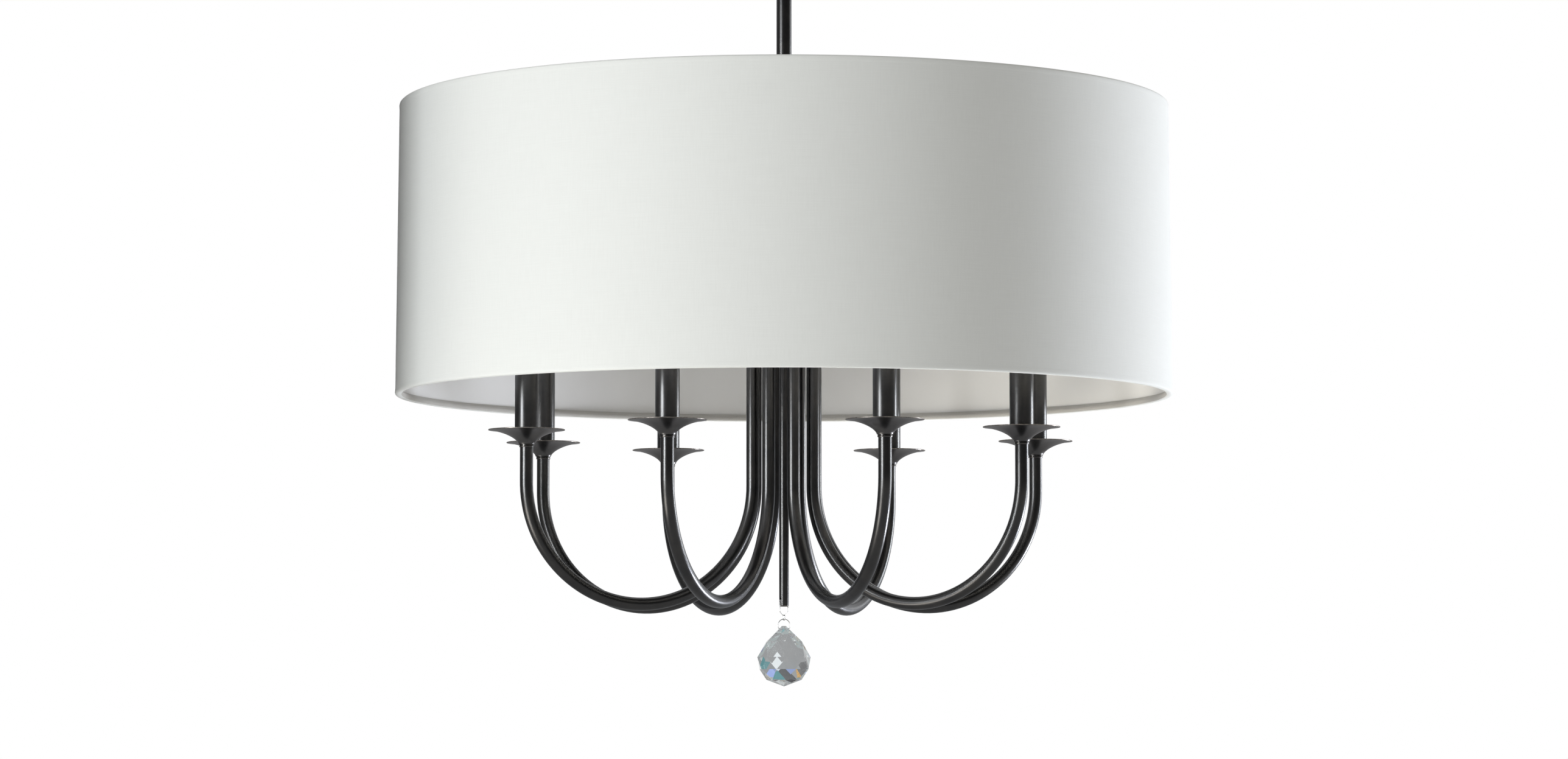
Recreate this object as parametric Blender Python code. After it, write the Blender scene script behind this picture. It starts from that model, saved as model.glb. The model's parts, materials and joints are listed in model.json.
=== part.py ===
"""Eight-arm chandelier with a drum shade and a cut-crystal drop.

The origin is the middle of the ceiling bar's top face, where the light is fixed to the ceiling. +Z is up, the
whole light hangs below the origin, and the front of the photograph faces -Y.
"""

from math import atan2, cos, pi, radians, sin

import bmesh
import bpy
from mathutils import Matrix, Vector

# Clearance between pieces that touch, and how far cutters reach past what they cut
CLEARANCE = 0.0003
CUT_OVERRUN = 0.002

# Ceiling bar, its studs and the canopy
BAR_LENGTH = 0.104
BAR_WIDTH = 0.022
BAR_THICKNESS = 0.0025
BOX_SCREW_SPACING = 0.070
BOX_SLOT_LENGTH = 0.009
BOX_SLOT_WIDTH = 0.0045
STUD_SPACING = 0.089
STUD_RADIUS = 0.002
STUD_COLLAR_RADIUS = 0.004
STUD_COLLAR_HEIGHT = 0.003
STUD_TAIL = 0.0065
CAP_NUT_RADIUS = 0.005
CAP_NUT_SKIRT = 0.003
CAP_NUT_HEIGHT = 0.0095
CANOPY_RADIUS = 0.0635
CANOPY_DEPTH = 0.028
CANOPY_EDGE_RADIUS = 0.0125
CANOPY_WALL = 0.0012
CANOPY_NUT_RADIUS = 0.009
CANOPY_NUT_HEIGHT = 0.004

# Threaded lamp pipe, the size that the stem, the column, the arms and the rod are screwed on
PIPE_RADIUS = 0.00475
PIPE_BORE_RADIUS = 0.003

# Hang-straight swivel
SWIVEL_COLLAR_RADIUS = 0.012
SWIVEL_COLLAR_HEIGHT = 0.005
SWIVEL_PIN_DROP = 0.014
EAR_HALF_WIDTH = 0.007
EAR_THICKNESS = 0.0036
TONGUE_THICKNESS = 0.008
SHOULDER_DROP = 0.010
SHOULDER_HEIGHT = 0.012
PIN_RADIUS = 0.0025
PIN_HEAD_RADIUS = 0.0045
PIN_HEAD_HEIGHT = 0.002

# Stem
STEM_RADIUS = 0.0075
STEM_LENGTH = 0.305
THREAD_DEPTH = 0.014

# Shade
SHADE_RADIUS = 0.381
SHADE_TOP_SHARE = 0.99265
SHADE_HEIGHT = 0.28575
SHADE_WALL = 0.0012
HEM_HEIGHT = 0.0075
HEM_CLOTH = 0.0008
HEM_ROLL_SHARE = 0.75
RING_WIRE_RADIUS = 0.0021
SPOKE_RADIUS = 0.0021
SPOKE_COUNT = 3
SPOKE_TURN_DEGREES = 90
WASHER_RADIUS = 0.018
WASHER_THICKNESS = 0.0022
WASHER_DROP = 0.025
SHADE_NUT_RADIUS = 0.0125
SHADE_NUT_HEIGHT = 0.007
SHADE_NUT_BEVEL = 0.0012

# Column and hub
COLUMN_RADIUS = 0.011
COLUMN_LENGTH = 0.0515
COVER_RADIUS = 0.052
COVER_HEIGHT = 0.030
COVER_EDGE_RADIUS = 0.010
COVER_WALL = 0.0012
PLATE_THICKNESS = 0.010

# Arms
ARM_COUNT = 8
ARM_RING_RADIUS = 0.265
HUB_RING_RADIUS = 0.032
ARM_TUBE_RADIUS = 0.00635
INNER_LEG_LENGTH = 0.2625
OUTER_LEG_LENGTH = 0.0333
BEAD_RADIUS = 0.0071
BEAD_HEIGHT = 0.0024
BEAD_BEVEL = 0.0006
LOCK_NUT_RADIUS = 0.008
LOCK_NUT_HEIGHT = 0.005
SPIGOT_ABOVE_NUT = 0.0017
SOCKET_SPIGOT_LENGTH = 0.007
ARM_RING_TURN_DEGREES = -5.5
# How far each arm is swung about its own inner leg, as photographed, from the back left round by the front
ARM_SWING_DEGREES = (11.1, 4.3, 4.3, 4.3, 4.3, -3.7, 1.8, 4.3)

# Drip dishes, candle sleeves and lamp sockets
DISH_RADIUS = 0.037
DISH_HEIGHT = 0.0144
DISH_BASE_RADIUS = 0.0077
DISH_WALL = 0.0009
DISH_FLARE_POWER = 1.6
SLEEVE_RADIUS = 0.01145
SLEEVE_WALL = 0.0011
SLEEVE_HEIGHT = 0.102
SOCKET_CUP_HEIGHT = 0.032
LAMP_BORE_RADIUS = 0.0068
LAMP_BORE_DEPTH = 0.025

# Lower rod and the drop's wires
ROD_LENGTH = 0.385
ROD_CHAMFER = 0.0009
ROD_HOLE_RADIUS = 0.0011
ROD_HOLE_RISE = 0.0075
CROSS_HOLE_TURN_DEGREES = 47.5
WIRE_RADIUS = 0.00045
BAIL_LEG_LENGTH = 0.0125
BAIL_POINT_DROP = 0.0040
BAIL_SIDE_CLEARANCE = 0.0005
LINK_HALF_WIDTH = 0.0015
LINK_HEIGHT = 0.0052
LINK_TURN_DEGREES = 130
STIRRUP_HALF_WIDTH = 0.0056
STIRRUP_HEIGHT = 0.0092
STIRRUP_CORNER_RADIUS = 0.0012

# Crystal drop: rows of points from the lower tip up to the flat cap
CRYSTAL_RADIUS = 0.0262
CRYSTAL_HEIGHT = 0.059
CRYSTAL_FOLD = 8
CRYSTAL_ROW_HEIGHT_SHARES = (0.11, 0.283, 0.483, 0.745, 1)
CRYSTAL_ROW_RADIUS_SHARES = (0.66, 0.954, 1, 0.70, 0.08)
CRYSTAL_HOLE_RADIUS = 0.0009
CRYSTAL_HOLE_DEPTH = 0.0025

# Number of sides of round forms, and steps along bends
SHADE_SIDES = 48
CANOPY_SIDES = 28
SMALL_SIDES = 14
DISH_SIDES = 16
TUBE_SIDES = 8
SOCKET_SIDES = 10
WIRE_SIDES = 6
NUT_CORNERS = 6
BEND_STEPS = 14
EDGE_STEPS = 3
FLARE_STEPS = 3
WIRE_CORNER_STEPS = 2
LINK_END_STEPS = 5
STIRRUP_TOP_STEPS = 6

# Edges sharper than these angles are shaded as corners, in degrees
CREASE_DEGREES = 35
SOFT_CREASE_DEGREES = 60
FACET_CREASE_DEGREES = 1

# Heights of the seats, all counted down from the ceiling
CANOPY_UNDERSIDE_Z = -CANOPY_DEPTH
COLLAR_TOP_Z = CANOPY_UNDERSIDE_Z - CLEARANCE
COLLAR_BOTTOM_Z = COLLAR_TOP_Z - SWIVEL_COLLAR_HEIGHT
PIN_Z = COLLAR_BOTTOM_Z - SWIVEL_PIN_DROP
SHOULDER_TOP_Z = PIN_Z - SHOULDER_DROP
STEM_TOP_Z = SHOULDER_TOP_Z - SHOULDER_HEIGHT - CLEARANCE
STEM_BOTTOM_Z = STEM_TOP_Z - STEM_LENGTH
SHADE_NUT_TOP_Z = STEM_BOTTOM_Z - CLEARANCE
WASHER_TOP_Z = SHADE_NUT_TOP_Z - SHADE_NUT_HEIGHT - CLEARANCE
WASHER_BOTTOM_Z = WASHER_TOP_Z - WASHER_THICKNESS
COLUMN_TOP_Z = WASHER_BOTTOM_Z - CLEARANCE
COVER_TOP_Z = COLUMN_TOP_Z - COLUMN_LENGTH - CLEARANCE
PLATE_BOTTOM_Z = COVER_TOP_Z - COVER_HEIGHT
PLATE_TOP_Z = PLATE_BOTTOM_Z + PLATE_THICKNESS
ARM_TOP_Z = PLATE_BOTTOM_Z - CLEARANCE
BEND_TOP_Z = ARM_TOP_Z - INNER_LEG_LENGTH
BEAD_TOP_Z = BEND_TOP_Z + OUTER_LEG_LENGTH + BEAD_HEIGHT
DISH_BOTTOM_Z = BEAD_TOP_Z + CLEARANCE

# Shade heights: its top ring stands the drop above the washer's middle
RING_TO_EDGE = HEM_CLOTH + CLEARANCE + RING_WIRE_RADIUS
TOP_RING_Z = (WASHER_TOP_Z + WASHER_BOTTOM_Z) / 2 + WASHER_DROP
SHADE_TOP_Z = TOP_RING_Z + RING_TO_EDGE
SHADE_BOTTOM_Z = SHADE_TOP_Z - SHADE_HEIGHT
BOTTOM_RING_Z = SHADE_BOTTOM_Z + RING_TO_EDGE

# Rod and drop heights
ROD_TOP_Z = PLATE_BOTTOM_Z + PLATE_THICKNESS / 2 - CLEARANCE
ROD_END_Z = ROD_TOP_Z - ROD_LENGTH
ROD_HOLE_Z = ROD_END_Z + ROD_HOLE_RISE
BAIL_TOP_Z = ROD_HOLE_Z - ROD_HOLE_RADIUS + WIRE_RADIUS + CLEARANCE
BAIL_POINT_Z = BAIL_TOP_Z - BAIL_LEG_LENGTH - BAIL_POINT_DROP
LINK_TOP_Z = BAIL_POINT_Z + WIRE_RADIUS * 2 + CLEARANCE
LINK_BOTTOM_Z = LINK_TOP_Z - LINK_HEIGHT
STIRRUP_TOP_Z = LINK_BOTTOM_Z + WIRE_RADIUS * 2 + CLEARANCE
STIRRUP_BAR_Z = STIRRUP_TOP_Z - STIRRUP_HEIGHT
CRYSTAL_HOLE_Z = STIRRUP_BAR_Z - CRYSTAL_HOLE_RADIUS + WIRE_RADIUS + CLEARANCE
CRYSTAL_TOP_Z = CRYSTAL_HOLE_Z + CRYSTAL_HOLE_DEPTH
CRYSTAL_TIP_Z = CRYSTAL_TOP_Z - CRYSTAL_HEIGHT

ARM_REACH = ARM_RING_RADIUS - HUB_RING_RADIUS
BEND_RADIUS = ARM_REACH / 2
# Bores are wide enough for their flats to clear a thread with the fewest sides
PIPE_HOLE_RADIUS = (PIPE_RADIUS + CLEARANCE) / cos(pi / TUBE_SIDES)
BAIL_HALF_WIDTH = PIPE_RADIUS + BAIL_SIDE_CLEARANCE + WIRE_RADIUS

# Finishes: colour, roughness, metallic
DARK_BRONZE = ((0.035, 0.034, 0.034), 0.32, 1)
PLATED_STEEL = ((0.45, 0.45, 0.44), 0.35, 1)
SHADE_CLOTH = ((0.80, 0.80, 0.76), 0.95, 0)
SOCKET_PLASTIC = ((0.05, 0.05, 0.05), 0.5, 0)
WIRE_STEEL = ((0.70, 0.70, 0.70), 0.2, 1)
CRYSTAL = ((0.90, 0.94, 0.96), 0.02, 0)


def clear_scene():
    for thing in list(bpy.data.objects):
        bpy.data.objects.remove(thing, do_unlink=True)


def material(name, finish):
    colour, roughness, metallic = finish
    made = bpy.data.materials.new(name)
    made.use_nodes = True
    shader = made.node_tree.nodes["Principled BSDF"]
    shader.inputs["Base Color"].default_value = (*colour, 1)
    shader.inputs["Roughness"].default_value = roughness
    shader.inputs["Metallic"].default_value = metallic
    made.diffuse_color = (*colour, 1)
    return made


def mesh_from(name, bm, crease_degrees=CREASE_DEGREES):
    bmesh.ops.recalc_face_normals(bm, faces=bm.faces)
    mesh = bpy.data.meshes.new(name)
    bm.to_mesh(mesh)
    bm.free()
    mesh.shade_smooth()
    mesh.set_sharp_from_angle(angle=radians(crease_degrees))
    return mesh


def place(name, mesh, finish=None, parent=None, at=(0, 0, 0), turn=0):
    """Adds a mesh to the scene. A place is given in its parent's frame."""
    thing = bpy.data.objects.new(name, mesh)
    bpy.context.scene.collection.objects.link(thing)
    thing.parent = parent
    thing.location = at
    thing.rotation_euler = (0, 0, turn)
    if finish:
        thing.data = mesh if not mesh.materials else mesh.copy()
        thing.data.materials.clear()
        thing.data.materials.append(material(name, finish))
    return thing


def axis_empty(name, at, parent=None, parent_at=(0, 0, 0)):
    empty = bpy.data.objects.new(name, None)
    bpy.context.scene.collection.objects.link(empty)
    empty.parent = parent
    empty.location = Vector(at) - Vector(parent_at)
    return empty


def turned(outline, sides):
    """Spins a closed outline of (radius, height) points about Z."""
    bm = bmesh.new()
    corners = [bm.verts.new((r, 0, z)) for r, z in outline]
    edges = []
    for here, after in zip(corners, corners[1:] + corners[:1]):
        if here.co.x > 0 or after.co.x > 0:
            edges.append(bm.edges.new((here, after)))
    bmesh.ops.spin(
        bm, geom=corners + edges, cent=(0, 0, 0), axis=(0, 0, 1), angle=2 * pi, steps=sides, use_merge=True
    )
    bmesh.ops.remove_doubles(bm, verts=bm.verts, dist=CLEARANCE / sides)
    return bm


def ring_points(centre, across, up, radius, sides):
    """Points of a circle about centre, in the plane of across and up."""
    step = 2 * pi / sides
    return [centre + (across * cos(step * k) + up * sin(step * k)) * radius for k in range(sides)]


def swept(stations, sides, side_axis, closed=False):
    """Lofts a tube through (point, radius) stations that lie in one plane, whose normal is side_axis."""
    bm = bmesh.new()
    count = len(stations)
    rings = []
    for k, (point, radius) in enumerate(stations):
        before = stations[(k - 1) % count][0] if closed or k else point
        after = stations[(k + 1) % count][0] if closed or k < count - 1 else point
        if (after - point).length == 0 or (point - before).length == 0:
            along = (after - before).normalized()
        else:
            along = ((after - point).normalized() + (point - before).normalized()).normalized()
        across = side_axis.cross(along).normalized()
        points = ring_points(point, across, side_axis, radius, sides)
        rings.append([bm.verts.new(p) for p in points])
    pairs = list(zip(rings, rings[1:] + rings[:1])) if closed else list(zip(rings, rings[1:]))
    for low, high in pairs:
        for k in range(sides):
            bm.faces.new((low[k], low[(k + 1) % sides], high[(k + 1) % sides], high[k]))
    if not closed:
        bm.faces.new(rings[0])
        bm.faces.new(rings[-1])
    return bm


def rod_between(start, end, radius, sides):
    """A round bar from one point to another."""
    along = end - start
    bm = bmesh.new()
    middle = (start + end) / 2
    turn = along.to_track_quat("Z", "Y").to_matrix().to_4x4()
    bmesh.ops.create_cone(
        bm, cap_ends=True, segments=sides, radius1=radius, radius2=radius, depth=along.length,
        matrix=Matrix.Translation(middle) @ turn,
    )
    return bm


def block(size, centre):
    bm = bmesh.new()
    scale = Matrix.Diagonal((*size, 1))
    bmesh.ops.create_cube(bm, size=1, matrix=Matrix.Translation(centre) @ scale)
    return bm


def extruded(outline, axis_step):
    """Gives a flat outline of points a thickness along axis_step."""
    bm = bmesh.new()
    face = bm.faces.new([bm.verts.new(p) for p in outline])
    grown = bmesh.ops.extrude_face_region(bm, geom=[face])
    moved = [item for item in grown["geom"] if isinstance(item, bmesh.types.BMVert)]
    bmesh.ops.translate(bm, verts=moved, vec=axis_step)
    return bm


def tool(name, bm, parent=None, at=(0, 0, 0), turn=0):
    """A hidden solid that another piece is cut or joined with."""
    thing = place(name, mesh_from(name, bm), parent=parent, at=at, turn=turn)
    thing.hide_render = True
    thing.display_type = "WIRE"
    return thing


def combine(thing, other, operation):
    step = thing.modifiers.new(other.name, "BOOLEAN")
    step.operation = operation
    step.solver = "EXACT"
    step.object = other


def arc(centre, radius, start, end, steps):
    """Points on an arc from one angle to another, both ends in."""
    turn = (end - start) / steps
    return [
        (centre[0] + radius * cos(start + turn * k), centre[1] + radius * sin(start + turn * k))
        for k in range(steps + 1)
    ]


def dome_outline(radius, height, edge_radius, wall, hole_radius):
    """Outline of a shallow spun cover, open below at z = -height and with a centre hole in its flat top."""
    centre = (radius - edge_radius, -edge_radius)
    outer = [(radius, -height)] + arc(centre, edge_radius, 0, pi / 2, EDGE_STEPS)
    inner = arc(centre, edge_radius - wall, pi / 2, 0, EDGE_STEPS)
    return outer + [(hole_radius, 0), (hole_radius, -wall)] + inner + [(radius - wall, -height)]


def collar_outline(radius, low, high, bore_radius):
    return [(bore_radius, low), (radius, low), (radius, high), (bore_radius, high)]


def hexagon_collar(radius, low, high, bore_radius):
    """A hexagon nut with a round bore."""
    bm = bmesh.new()
    sides = 2 * NUT_CORNERS
    step = 2 * pi / sides
    rings = []
    for z in (low, high):
        outside = [(radius if k % 2 else radius * cos(step)) for k in range(sides)]
        rings.append([bm.verts.new((r * cos(step * k), r * sin(step * k), z)) for k, r in enumerate(outside)])
        rings.append([bm.verts.new((bore_radius * cos(step * k), bore_radius * sin(step * k), z))
                      for k in range(sides)])
    low_out, low_in, high_out, high_in = rings
    for first, second in ((low_out, high_out), (high_out, high_in), (high_in, low_in), (low_in, low_out)):
        for k in range(sides):
            bm.faces.new((first[k], first[(k + 1) % sides], second[(k + 1) % sides], second[k]))
    return bm


# Ceiling bar, studs, cap nuts and canopy


def ceiling_bar():
    bar = block((BAR_LENGTH, BAR_WIDTH, BAR_THICKNESS), (0, 0, -BAR_THICKNESS / 2))
    made = place("ceiling_bar", mesh_from("ceiling_bar", bar), PLATED_STEEL)
    reach = BAR_THICKNESS + CUT_OVERRUN
    for side in (-1, 1):
        flat = BOX_SLOT_LENGTH - BOX_SLOT_WIDTH
        half = BOX_SLOT_WIDTH / 2
        right = arc((flat / 2, 0), half, -pi / 2, pi / 2, EDGE_STEPS)
        left = arc((-flat / 2, 0), half, pi / 2, 3 * pi / 2, EDGE_STEPS)
        slot = extruded([Vector((x, y, -reach)) for x, y in right + left], Vector((0, 0, 2 * reach)))
        combine(made, tool(f"slot_cut_{side}", slot, at=(side * BOX_SCREW_SPACING / 2, 0, 0)), "DIFFERENCE")
        through = Vector((0, 0, reach))
        hole = rod_between(-through, through, STUD_RADIUS + CLEARANCE, SOCKET_SIDES)
        combine(made, tool(f"stud_hole_{side}", hole, at=(side * STUD_SPACING / 2, 0, 0)), "DIFFERENCE")


def stud_mesh():
    collar_top = -BAR_THICKNESS - CLEARANCE
    collar_bottom = collar_top - STUD_COLLAR_HEIGHT
    outline = [
        (0, -CLEARANCE), (STUD_RADIUS, -CLEARANCE), (STUD_RADIUS, collar_top),
        (STUD_COLLAR_RADIUS, collar_top), (STUD_COLLAR_RADIUS, collar_bottom), (STUD_RADIUS, collar_bottom),
        (STUD_RADIUS, CANOPY_UNDERSIDE_Z - STUD_TAIL), (0, CANOPY_UNDERSIDE_Z - STUD_TAIL),
    ]
    return mesh_from("stud", turned(outline, SOCKET_SIDES))


def cap_nut_mesh():
    top = CANOPY_UNDERSIDE_Z - CLEARANCE
    bore = STUD_RADIUS + CLEARANCE
    bore_end = CANOPY_UNDERSIDE_Z - STUD_TAIL - CLEARANCE
    dome_height = CAP_NUT_HEIGHT - CAP_NUT_SKIRT
    step = pi / 2 / EDGE_STEPS
    dome = [
        (CAP_NUT_RADIUS * cos(step * k), top - CAP_NUT_SKIRT - dome_height * sin(step * k))
        for k in range(EDGE_STEPS)
    ]
    outline = [(bore, top), (CAP_NUT_RADIUS, top)] + dome
    outline += [(0, top - CAP_NUT_HEIGHT), (0, bore_end), (bore, bore_end)]
    return mesh_from("cap_nut", turned(outline, SOCKET_SIDES))


def canopy():
    shell = dome_outline(CANOPY_RADIUS, CANOPY_DEPTH, CANOPY_EDGE_RADIUS, CANOPY_WALL, PIPE_HOLE_RADIUS)
    outline = [(r, CANOPY_UNDERSIDE_Z - z) for r, z in shell]
    made = place("canopy", mesh_from("canopy", turned(outline, CANOPY_SIDES)), DARK_BRONZE)
    for side in (-1, 1):
        start = Vector((side * STUD_SPACING / 2, 0, CANOPY_UNDERSIDE_Z - CUT_OVERRUN))
        end = start + Vector((0, 0, CANOPY_WALL + 2 * CUT_OVERRUN))
        hole = rod_between(start, end, STUD_RADIUS + CLEARANCE, SOCKET_SIDES)
        combine(made, tool(f"canopy_hole_{side}", hole), "DIFFERENCE")


def ceiling_end():
    ceiling_bar()
    canopy()
    stud = stud_mesh()
    cap_nut = cap_nut_mesh()
    for number, side in enumerate((-1, 1), 1):
        at = (side * STUD_SPACING / 2, 0, 0)
        place(f"stud_{number}", stud, PLATED_STEEL, at=at)
        place(f"cap_nut_{number}", cap_nut, DARK_BRONZE, at=at)


# Swivel


def ear_outline(half_width, top, bottom_round_z):
    """Side view of a flat ear: straight sides, with a round end about the pin."""
    end = arc((0, bottom_round_z), half_width, 0, -pi, 2 * EDGE_STEPS)
    return [(half_width, top)] + end + [(-half_width, top)]


def pin_hole(name, parent):
    reach = TONGUE_THICKNESS / 2 + EAR_THICKNESS + CUT_OVERRUN
    through = Vector((reach, 0, 0))
    hole = rod_between(-through, through, PIN_RADIUS + CLEARANCE, SOCKET_SIDES)
    return tool(name, hole, parent=parent)


def swivel_fork(pivot):
    """The fork hangs from the canopy by its threaded stub. Its origin is on the pin's axis."""
    collar_top = COLLAR_TOP_Z - PIN_Z
    collar_bottom = COLLAR_BOTTOM_Z - PIN_Z
    stub_top = collar_top + CANOPY_WALL + 2 * CLEARANCE + CANOPY_NUT_HEIGHT + CLEARANCE
    outline = [
        (0, collar_bottom), (SWIVEL_COLLAR_RADIUS, collar_bottom), (SWIVEL_COLLAR_RADIUS, collar_top),
        (PIPE_RADIUS, collar_top), (PIPE_RADIUS, stub_top), (0, stub_top),
    ]
    mesh = mesh_from("swivel_fork", turned(outline, SMALL_SIDES))
    made = place("swivel_fork", mesh, DARK_BRONZE, pivot)
    inside = TONGUE_THICKNESS / 2 + CLEARANCE
    for side in (-1, 1):
        near = side * inside
        root = collar_bottom + SWIVEL_COLLAR_HEIGHT / 2
        flat = [Vector((near, y, z)) for y, z in ear_outline(EAR_HALF_WIDTH, root, 0)]
        ear = extruded(flat, Vector((side * EAR_THICKNESS, 0, 0)))
        combine(made, tool(f"ear_{side}", ear, parent=pivot), "UNION")
    combine(made, pin_hole("fork_pin_hole", pivot), "DIFFERENCE")
    nut_bottom = CANOPY_UNDERSIDE_Z + CANOPY_WALL + CLEARANCE - PIN_Z
    nut = hexagon_collar(CANOPY_NUT_RADIUS, nut_bottom, nut_bottom + CANOPY_NUT_HEIGHT, PIPE_HOLE_RADIUS)
    place("canopy_nut", mesh_from("canopy_nut", nut), PLATED_STEEL, pivot)


def swivel_pin(pivot):
    half = TONGUE_THICKNESS / 2 + CLEARANCE + EAR_THICKNESS + CLEARANCE
    end = half + PIN_HEAD_HEIGHT
    outline = [
        (0, -end), (PIN_HEAD_RADIUS, -end), (PIN_HEAD_RADIUS, -half), (PIN_RADIUS, -half),
        (PIN_RADIUS, half), (PIN_HEAD_RADIUS, half), (PIN_HEAD_RADIUS, end), (0, end),
    ]
    bm = turned(outline, SOCKET_SIDES)
    bmesh.ops.rotate(bm, verts=bm.verts, cent=(0, 0, 0), matrix=Matrix.Rotation(pi / 2, 3, "Y"))
    place("swivel_pin", mesh_from("swivel_pin", bm), PLATED_STEEL, pivot)


def swivel_tongue(pivot):
    """The tongue screws into the stem's top. Its origin is on the pin's axis."""
    shoulder_bottom = -SHOULDER_DROP - SHOULDER_HEIGHT
    spigot_bottom = shoulder_bottom - THREAD_DEPTH
    outline = [
        (0, spigot_bottom), (PIPE_RADIUS, spigot_bottom), (PIPE_RADIUS, shoulder_bottom),
        (STEM_RADIUS, shoulder_bottom), (STEM_RADIUS, -SHOULDER_DROP), (0, -SHOULDER_DROP),
    ]
    mesh = mesh_from("swivel_tongue", turned(outline, SMALL_SIDES))
    made = place("swivel_tongue", mesh, DARK_BRONZE, pivot)
    near = -TONGUE_THICKNESS / 2
    root = -SHOULDER_DROP - SHOULDER_HEIGHT / 2
    side_view = [(y, -z) for y, z in ear_outline(EAR_HALF_WIDTH - CLEARANCE, -root, 0)]
    flat = [Vector((near, y, z)) for y, z in side_view]
    eye = extruded(flat, Vector((TONGUE_THICKNESS, 0, 0)))
    combine(made, tool("tongue_eye", eye, parent=pivot), "UNION")
    combine(made, pin_hole("tongue_pin_hole", pivot), "DIFFERENCE")


# Stem, column and hub


def stem(frame):
    outline = collar_outline(STEM_RADIUS, STEM_BOTTOM_Z - PIN_Z, STEM_TOP_Z - PIN_Z, PIPE_HOLE_RADIUS)
    place("stem", mesh_from("stem", turned(outline, SMALL_SIDES)), DARK_BRONZE, frame)


def centre_pipe(frame):
    """Threaded pipe that clamps the stem, shade nut, washer, column and cover onto the hub plate."""
    top = STEM_BOTTOM_Z + THREAD_DEPTH - PIN_Z
    bottom = PLATE_BOTTOM_Z + PLATE_THICKNESS / 2 - PIN_Z
    outline = collar_outline(PIPE_RADIUS, bottom, top, PIPE_BORE_RADIUS)
    place("centre_pipe", mesh_from("centre_pipe", turned(outline, SOCKET_SIDES)), PLATED_STEEL, frame)


def shade_nut(frame):
    top = SHADE_NUT_TOP_Z - PIN_Z
    bottom = top - SHADE_NUT_HEIGHT
    bevel = SHADE_NUT_BEVEL
    outline = [
        (PIPE_HOLE_RADIUS, bottom), (SHADE_NUT_RADIUS - bevel, bottom), (SHADE_NUT_RADIUS, bottom + bevel),
        (SHADE_NUT_RADIUS, top - bevel), (SHADE_NUT_RADIUS - bevel, top), (PIPE_HOLE_RADIUS, top),
    ]
    place("shade_nut", mesh_from("shade_nut", turned(outline, SMALL_SIDES)), DARK_BRONZE, frame)


def column(frame):
    outline = collar_outline(
        COLUMN_RADIUS, COLUMN_TOP_Z - COLUMN_LENGTH - PIN_Z, COLUMN_TOP_Z - PIN_Z, PIPE_HOLE_RADIUS
    )
    place("column", mesh_from("column", turned(outline, SMALL_SIDES)), DARK_BRONZE, frame)


def hub_cover(frame):
    shell = dome_outline(COVER_RADIUS, COVER_HEIGHT, COVER_EDGE_RADIUS, COVER_WALL, PIPE_HOLE_RADIUS)
    outline = [(r, COVER_TOP_Z - PIN_Z + z) for r, z in shell]
    place("hub_cover", mesh_from("hub_cover", turned(outline, CANOPY_SIDES)), DARK_BRONZE, frame)


def hub_plate(frame):
    """Thick plate that the arms and the rod screw into, with a boss up to the cover's underside."""
    bottom = PLATE_BOTTOM_Z - PIN_Z
    top = PLATE_TOP_Z - PIN_Z
    boss_top = COVER_TOP_Z - COVER_WALL - CLEARANCE - PIN_Z
    radius = COVER_RADIUS - COVER_WALL - CLEARANCE
    outline = [
        (PIPE_HOLE_RADIUS, bottom), (radius, bottom), (radius, top), (COLUMN_RADIUS, top),
        (COLUMN_RADIUS, boss_top), (PIPE_HOLE_RADIUS, boss_top),
    ]
    mesh = mesh_from("hub_plate", turned(outline, CANOPY_SIDES))
    made = place("hub_plate", mesh, DARK_BRONZE, frame)
    for number in range(ARM_COUNT):
        start = arm_root(number) + Vector((0, 0, bottom - CUT_OVERRUN))
        end = arm_root(number) + Vector((0, 0, top + CUT_OVERRUN))
        hole = rod_between(start, end, PIPE_HOLE_RADIUS, TUBE_SIDES)
        combine(made, tool(f"arm_hole_{number}", hole, parent=frame), "DIFFERENCE")


# Shade


def shade_radius(z):
    """Outer radius of the shade at a height."""
    share = (z - SHADE_BOTTOM_Z) / SHADE_HEIGHT
    return SHADE_RADIUS * (1 - share + SHADE_TOP_SHARE * share)


def wall_outside(z):
    return shade_radius(z) - HEM_CLOTH - CLEARANCE


def wall_inside(z):
    return wall_outside(z) - SHADE_WALL


def ring_radius(z):
    """Radius of a shade ring's centre line, just inside the wall."""
    return wall_inside(z) - CLEARANCE - RING_WIRE_RADIUS


def shade_turned(outline, sides=SHADE_SIDES):
    return turned([(r, z - PIN_Z) for r, z in outline], sides)


def shade_wall(frame):
    low = SHADE_BOTTOM_Z + HEM_CLOTH + CLEARANCE
    high = SHADE_TOP_Z - HEM_CLOTH - CLEARANCE
    outline = [
        (wall_inside(low), low), (wall_outside(low), low),
        (wall_outside(high), high), (wall_inside(high), high),
    ]
    place("shade_wall", mesh_from("shade_wall", shade_turned(outline)), SHADE_CLOTH, frame)


def hem_outline(edge_z, ring_z):
    """Folded cloth round the shade's edge and its ring. The fold is at edge_z, its lips end inward of it."""
    inward = 1 if ring_z > edge_z else -1
    lip_z = edge_z + inward * HEM_HEIGHT
    fold_z = edge_z + inward * HEM_CLOTH
    roll = ring_radius(ring_z) - RING_WIRE_RADIUS - CLEARANCE
    roll_z = ring_z + inward * RING_WIRE_RADIUS * HEM_ROLL_SHARE
    lip = wall_inside(lip_z) - CLEARANCE
    return [
        (shade_radius(lip_z), lip_z),
        (shade_radius(edge_z), edge_z),
        (roll - HEM_CLOTH, edge_z),
        (roll - HEM_CLOTH, roll_z),
        (lip - HEM_CLOTH, lip_z),
        (lip, lip_z),
        (roll, roll_z),
        (roll, fold_z),
        (shade_radius(fold_z) - HEM_CLOTH, fold_z),
        (shade_radius(lip_z) - HEM_CLOTH, lip_z),
    ]


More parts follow.
